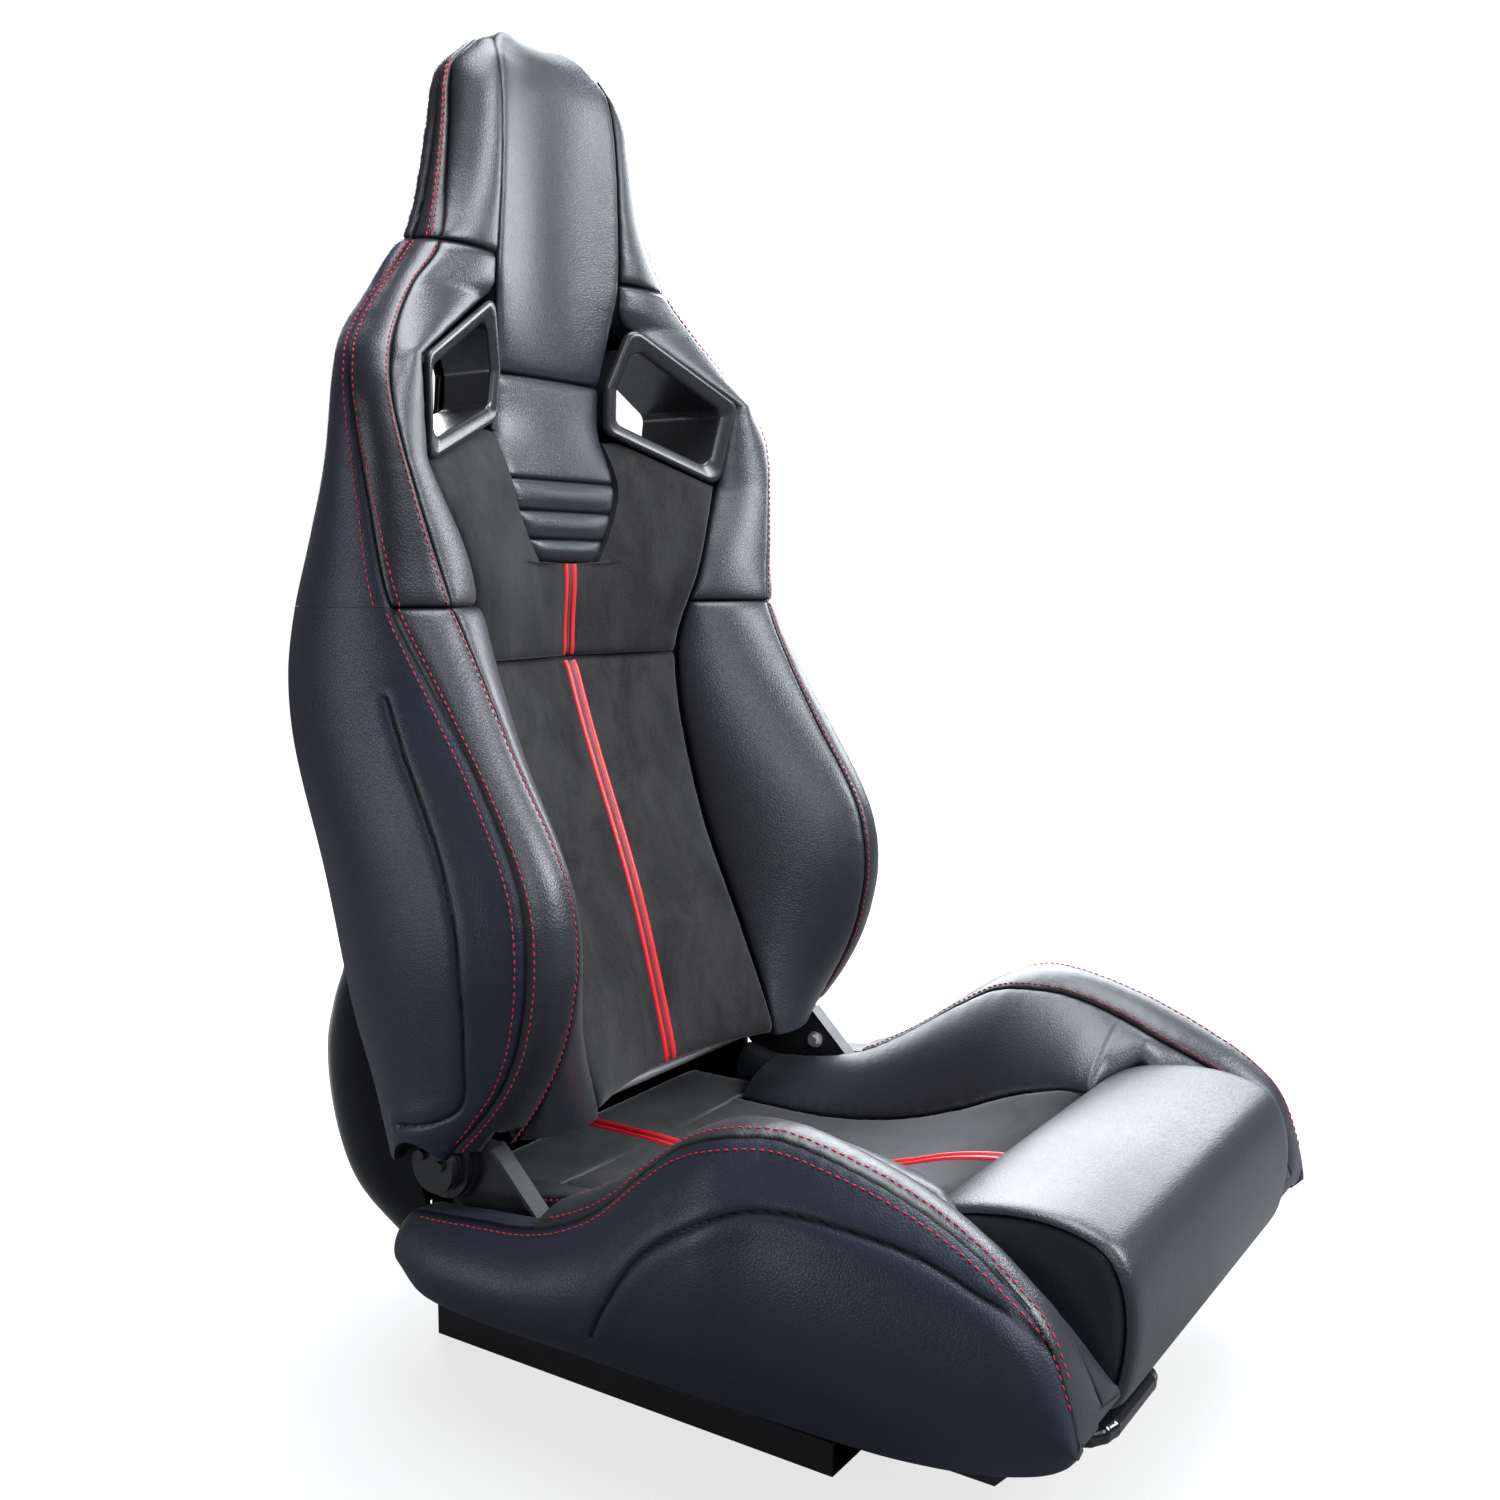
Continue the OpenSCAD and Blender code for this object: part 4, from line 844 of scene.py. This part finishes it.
def row_of_stitches(name, offset, mark, start=-1000, end=1000, spacing=5.4):
    """Stitches along the column offset places from a line of a kept grid, between two depths of
    the cushion or two heights of the backrest: (places, ways, outs)."""
    points, marks = grids[name]
    column = marks[mark] + offset
    place = points[:, column, 1 if name.startswith("cushion") else 2]
    rows = (place > start) & (place < end)
    path = points[rows, column]
    side = points[rows, column + 1] - points[rows, column - 1]
    way = unit(np.gradient(path, axis=0))
    out = unit(np.cross(way, side))
    body = points[rows, :marks[-1]].mean(1)
    deep = points[rows].mean(1)
    flip = np.sign((out * (body - deep)).sum(-1, keepdims=True))
    out = out * np.where(flip == 0, 1, flip)
    run = np.concatenate([[0], np.cumsum(np.linalg.norm(np.diff(path, axis=0), axis=1))])
    t = np.arange(spacing / 2, run[-1] - spacing / 2, spacing)
    pick = lambda v: np.stack([np.interp(t, run, v[:, k]) for k in range(3)], -1)
    return pick(path), unit(pick(way)), unit(pick(out))


def thread(name, rows, body, length=3.2, radius=0.52):
    """One mesh of stitches: capsules, each laid along its row and half sunk. A capsule is a
    hexagon at every place of CAPSULE, x half lengths along and r radii out."""
    place, way, out = (np.concatenate([row[k] for row in rows]) for k in range(3))
    side = np.cross(out, way)
    angles = np.arange(6) * np.pi / 3
    shape = np.array([[x * length / 2, r * radius * np.cos(a), r * radius * np.sin(a)]
                      for x, r in CAPSULE for a in angles])
    points = (place[:, None] + out[:, None] * 0.25 + way[:, None] * shape[None, :, :1]
              + side[:, None] * shape[None, :, 1:2] + out[:, None] * shape[None, :, 2:])
    one = tube_faces(len(CAPSULE), 6)
    first = (np.arange(len(place)) * len(shape))[:, None, None]
    faces = (np.array(one[:-2]) + first).reshape(-1, 4).tolist()
    faces += (np.array(one[-2:]) + first).reshape(-1, 6).tolist()
    dress(piece(name, points.reshape(-1, 3), faces, red_thread, bend=80), body, "leather")


for name in ("right", "left"):
    thread("stitches_backrest_" + name, [
        row_of_stitches("bolster_leather_" + name, -4, 2),
        row_of_stitches("back_side_leather_" + name, 4, 0, 172),
        row_of_stitches("bolster_leather_" + name, 3, 1),
        row_of_stitches("shoulder_leather_" + name, -4, 2),
        row_of_stitches("shoulder_leather_" + name, 4, 2),
        row_of_stitches("shoulder_leather_" + name, 3, 1),
        row_of_stitches("head_side_leather_" + name, -4, 2, end=928),
        row_of_stitches("head_side_leather_" + name, 4, 2, end=928),
        row_of_stitches("head_side_leather_" + name, 3, 1, end=928),
    ], "backrest")
    thread("stitches_seat_" + name, [
        row_of_stitches("cushion_bolster_leather_" + name, -4, 2, -336, 20),
        row_of_stitches("cushion_side_leather_" + name, 4, 0, -338, 132),
        row_of_stitches("cushion_bolster_leather_" + name, 3, 1, -292, 98),
    ], "seat")

# ---------- back shell ----------
# One moulded plastic shell, high gloss, closes the backrest from behind. It has shallow flutes
# lengthwise near its side edges, and two openings for the harness, each lined by a satin rim
# whose dished collar is pressed over the covers and whose sleeve runs back into the shell.

shell_black = plain("gloss_shell", (0.003, 0.003, 0.004), 0.17, specular=0.14)
# Height, depth of the shell's back, and how square its corners are.
SHELL_BACK = [[62, 250, 3.4], [88, 281, 3.4], [115, 299, 3.4], [150, 311, 3.4], [200, 314, 3.3],
              [237, 302, 3], [270, 288, 2.5], [300, 281, 2.2], [345, 283, 2.2], [400, 293, 2.2],
              [480, 300, 2.4], [560, 286, 2.6], [640, 268, 3], [700, 262, 3.2], [770, 266, 3.2],
              [865, 272, 3], [925, 266, 2.6], [940, 258, 2.3], [950, 247, 2.2]]
SLOT = np.array([[66, 669], [176, 629], [188, 700], [82, 757], [64, 706]], float)


def shell_half(z, inset, count=34):
    """Half outlines at the heights z, side edge to middle: superellipses whose corner exponent
    follows the height, the outer one fluted."""
    half = along(REAR, z, 1) - 17 - inset
    edge = along(REAR, z, 2) - 4
    depth = along(SHELL_BACK, z, 1) - inset - edge
    power = 2 / along(SHELL_BACK, z, 2)
    a = np.linspace(0, np.pi / 2, count)
    c, s = np.maximum(np.cos(a), 0), np.sin(a)
    points = np.stack([half[:, None] * c ** power[:, None],
                       edge[:, None] + depth[:, None] * s ** power[:, None]], -1)
    if not inset:
        inward = half[:, None] - points[..., 0]
        flute = sum(np.exp(-((inward - at) / 4.5) ** 2) for at in (20, 38, 56))
        points[..., 1] -= 1.5 * flute * np.clip((z - 90) / 60, 0, 1)[:, None]
    return points


def slot_outline(inset, corner):
    """SLOT taken in by inset, with seven points round each corner. The middle of a corner's
    round lies inwards along the sum of its two normals m and n, times (inset + corner) /
    (1 + m n)."""
    way = unit(np.roll(SLOT, -1, axis=0) - SLOT)
    normal = np.stack([-way[:, 1], way[:, 0]], -1)
    before = np.roll(normal, 1, axis=0)
    reach = (inset + corner) / (1 + (normal * before).sum(-1))
    middle = SLOT + (normal + before) * reach[:, None]
    outline = []
    for m, n0, n1 in zip(middle, before, normal):
        a0, a1 = math.atan2(-n0[1], -n0[0]), math.atan2(-n1[1], -n1[0])
        if a1 < a0:
            a1 += 2 * math.pi
        outline += [m + corner * np.array([math.cos(a), math.sin(a)])
                    for a in np.linspace(a0, a1, 7)]
    return np.array(outline)


def slot_prism(name, inset, corner, y0, y1, sign):
    """The room of a harness opening: its outline run straight back from y0 to y1, on the side
    that sign gives."""
    outline = slot_outline(inset, corner)
    points = [[sign * x, y, z] for y in (y0, y1) for x, z in outline]
    faces = [face[::sign] for face in tube_faces(2, len(outline), turn=-1)]
    return piece(name, points, faces, shell_black)


heights = np.concatenate([np.linspace(62, 200, 26), np.linspace(206, 918, 110),
                          [922, 926, 930, 934, 937, 940, 943, 946, 949]])
outer, inner = shell_half(heights, 0), shell_half(heights, 4)
ring = np.concatenate([outer, (outer * [-1, 1])[:, -2::-1], (inner * [-1, 1]), inner[:, -2::-1]], 1)
shell = pad("back_shell_gloss", (ring, np.full(ring.shape[:2], 30.0), [0]), heights, 2,
            shell_black, bend=40)
cut(shell, slot_prism("opening_a", 7, 9, 215, 300, 1), slot_prism("opening_b", 7, 9, 215, 300, -1))
dress(shell, "backrest", "shell_plastic", "back_shell")

plastic = plain("satin_plastic", (0.020, 0.020, 0.022), 0.27)
# The rim's section: how far in from the slot's outline, and how far behind the covers.
RIM = [(0.3, -2), (0, -3.4), (0, -5.0), (0.7, -6.4), (2.0, -7.1), (3.6, -7.0), (6.2, -6.0),
       (9.0, -4.6), (11.0, -3.3), (11.8, -2.2), (12, -0.6), (12, 3), (12, 99), (9, 99), (9, -2)]
for sign, name in ((1, "right"), (-1, "left")):
    rows = []
    for inset, lift in RIM:
        x, z = slot_outline(inset, 9).T
        rows.append(np.stack([sign * x, np.minimum(246, 234 - 0.3869 * x - 0.1 * (z - 669) + lift),
                              z], -1))
    count = len(rows[0])
    j, k = np.meshgrid(np.arange(len(RIM)), np.arange(count), indexing="ij")
    j, k, after, beside = j.ravel(), k.ravel(), (j.ravel() + 1) % len(RIM), (k.ravel() + 1) % count
    quads = np.stack([j * count + k, j * count + beside, after * count + beside,
                      after * count + k], 1)
    dress(piece("slot_rim_" + name, np.concatenate(rows), quads[:, ::sign].tolist(), plastic,
                bend=40), "backrest", "satin_plastic", "harness_bezel_" + name)

# ---------- frame, rails and hardware ----------
# Pressed steel side members, tubes, rails and recliner plates in satin black powder coat, the
# slide bar and hoop glossier, bolts, balls and springs in bright zinc, trims in satin plastic.

powder = plain("satin_powder_coat", (0.012, 0.012, 0.013), 0.36)
bracket = plain("satin_bracket", (0.016, 0.016, 0.018), 0.30)
gloss = plain("gloss_black_enamel", (0.008, 0.008, 0.009), 0.14, coat=0.5)
zinc = plain("bright_zinc", (0.80, 0.80, 0.82), 0.34, metallic=0.8)
finishes = {"frame_black": powder, "bracket_black": bracket, "gloss_black": gloss,
            "zinc_steel": zinc, "satin_plastic": plastic, "shell_plastic": plastic}

for name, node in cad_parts.items():
    for index, old in enumerate(node.data.materials):
        for slot_name, material in finishes.items():
            if old and old.name.startswith(slot_name):
                node.data.materials[index] = material
    if not node.hide_render:
        node.data.set_sharp_from_angle(angle=math.radians(35))
        edges = node.modifiers.new("broken_edges", "BEVEL")
        edges.width = 0.0006
        edges.segments = 2
        edges.limit_method = "ANGLE"
        edges.angle_limit = math.radians(40)
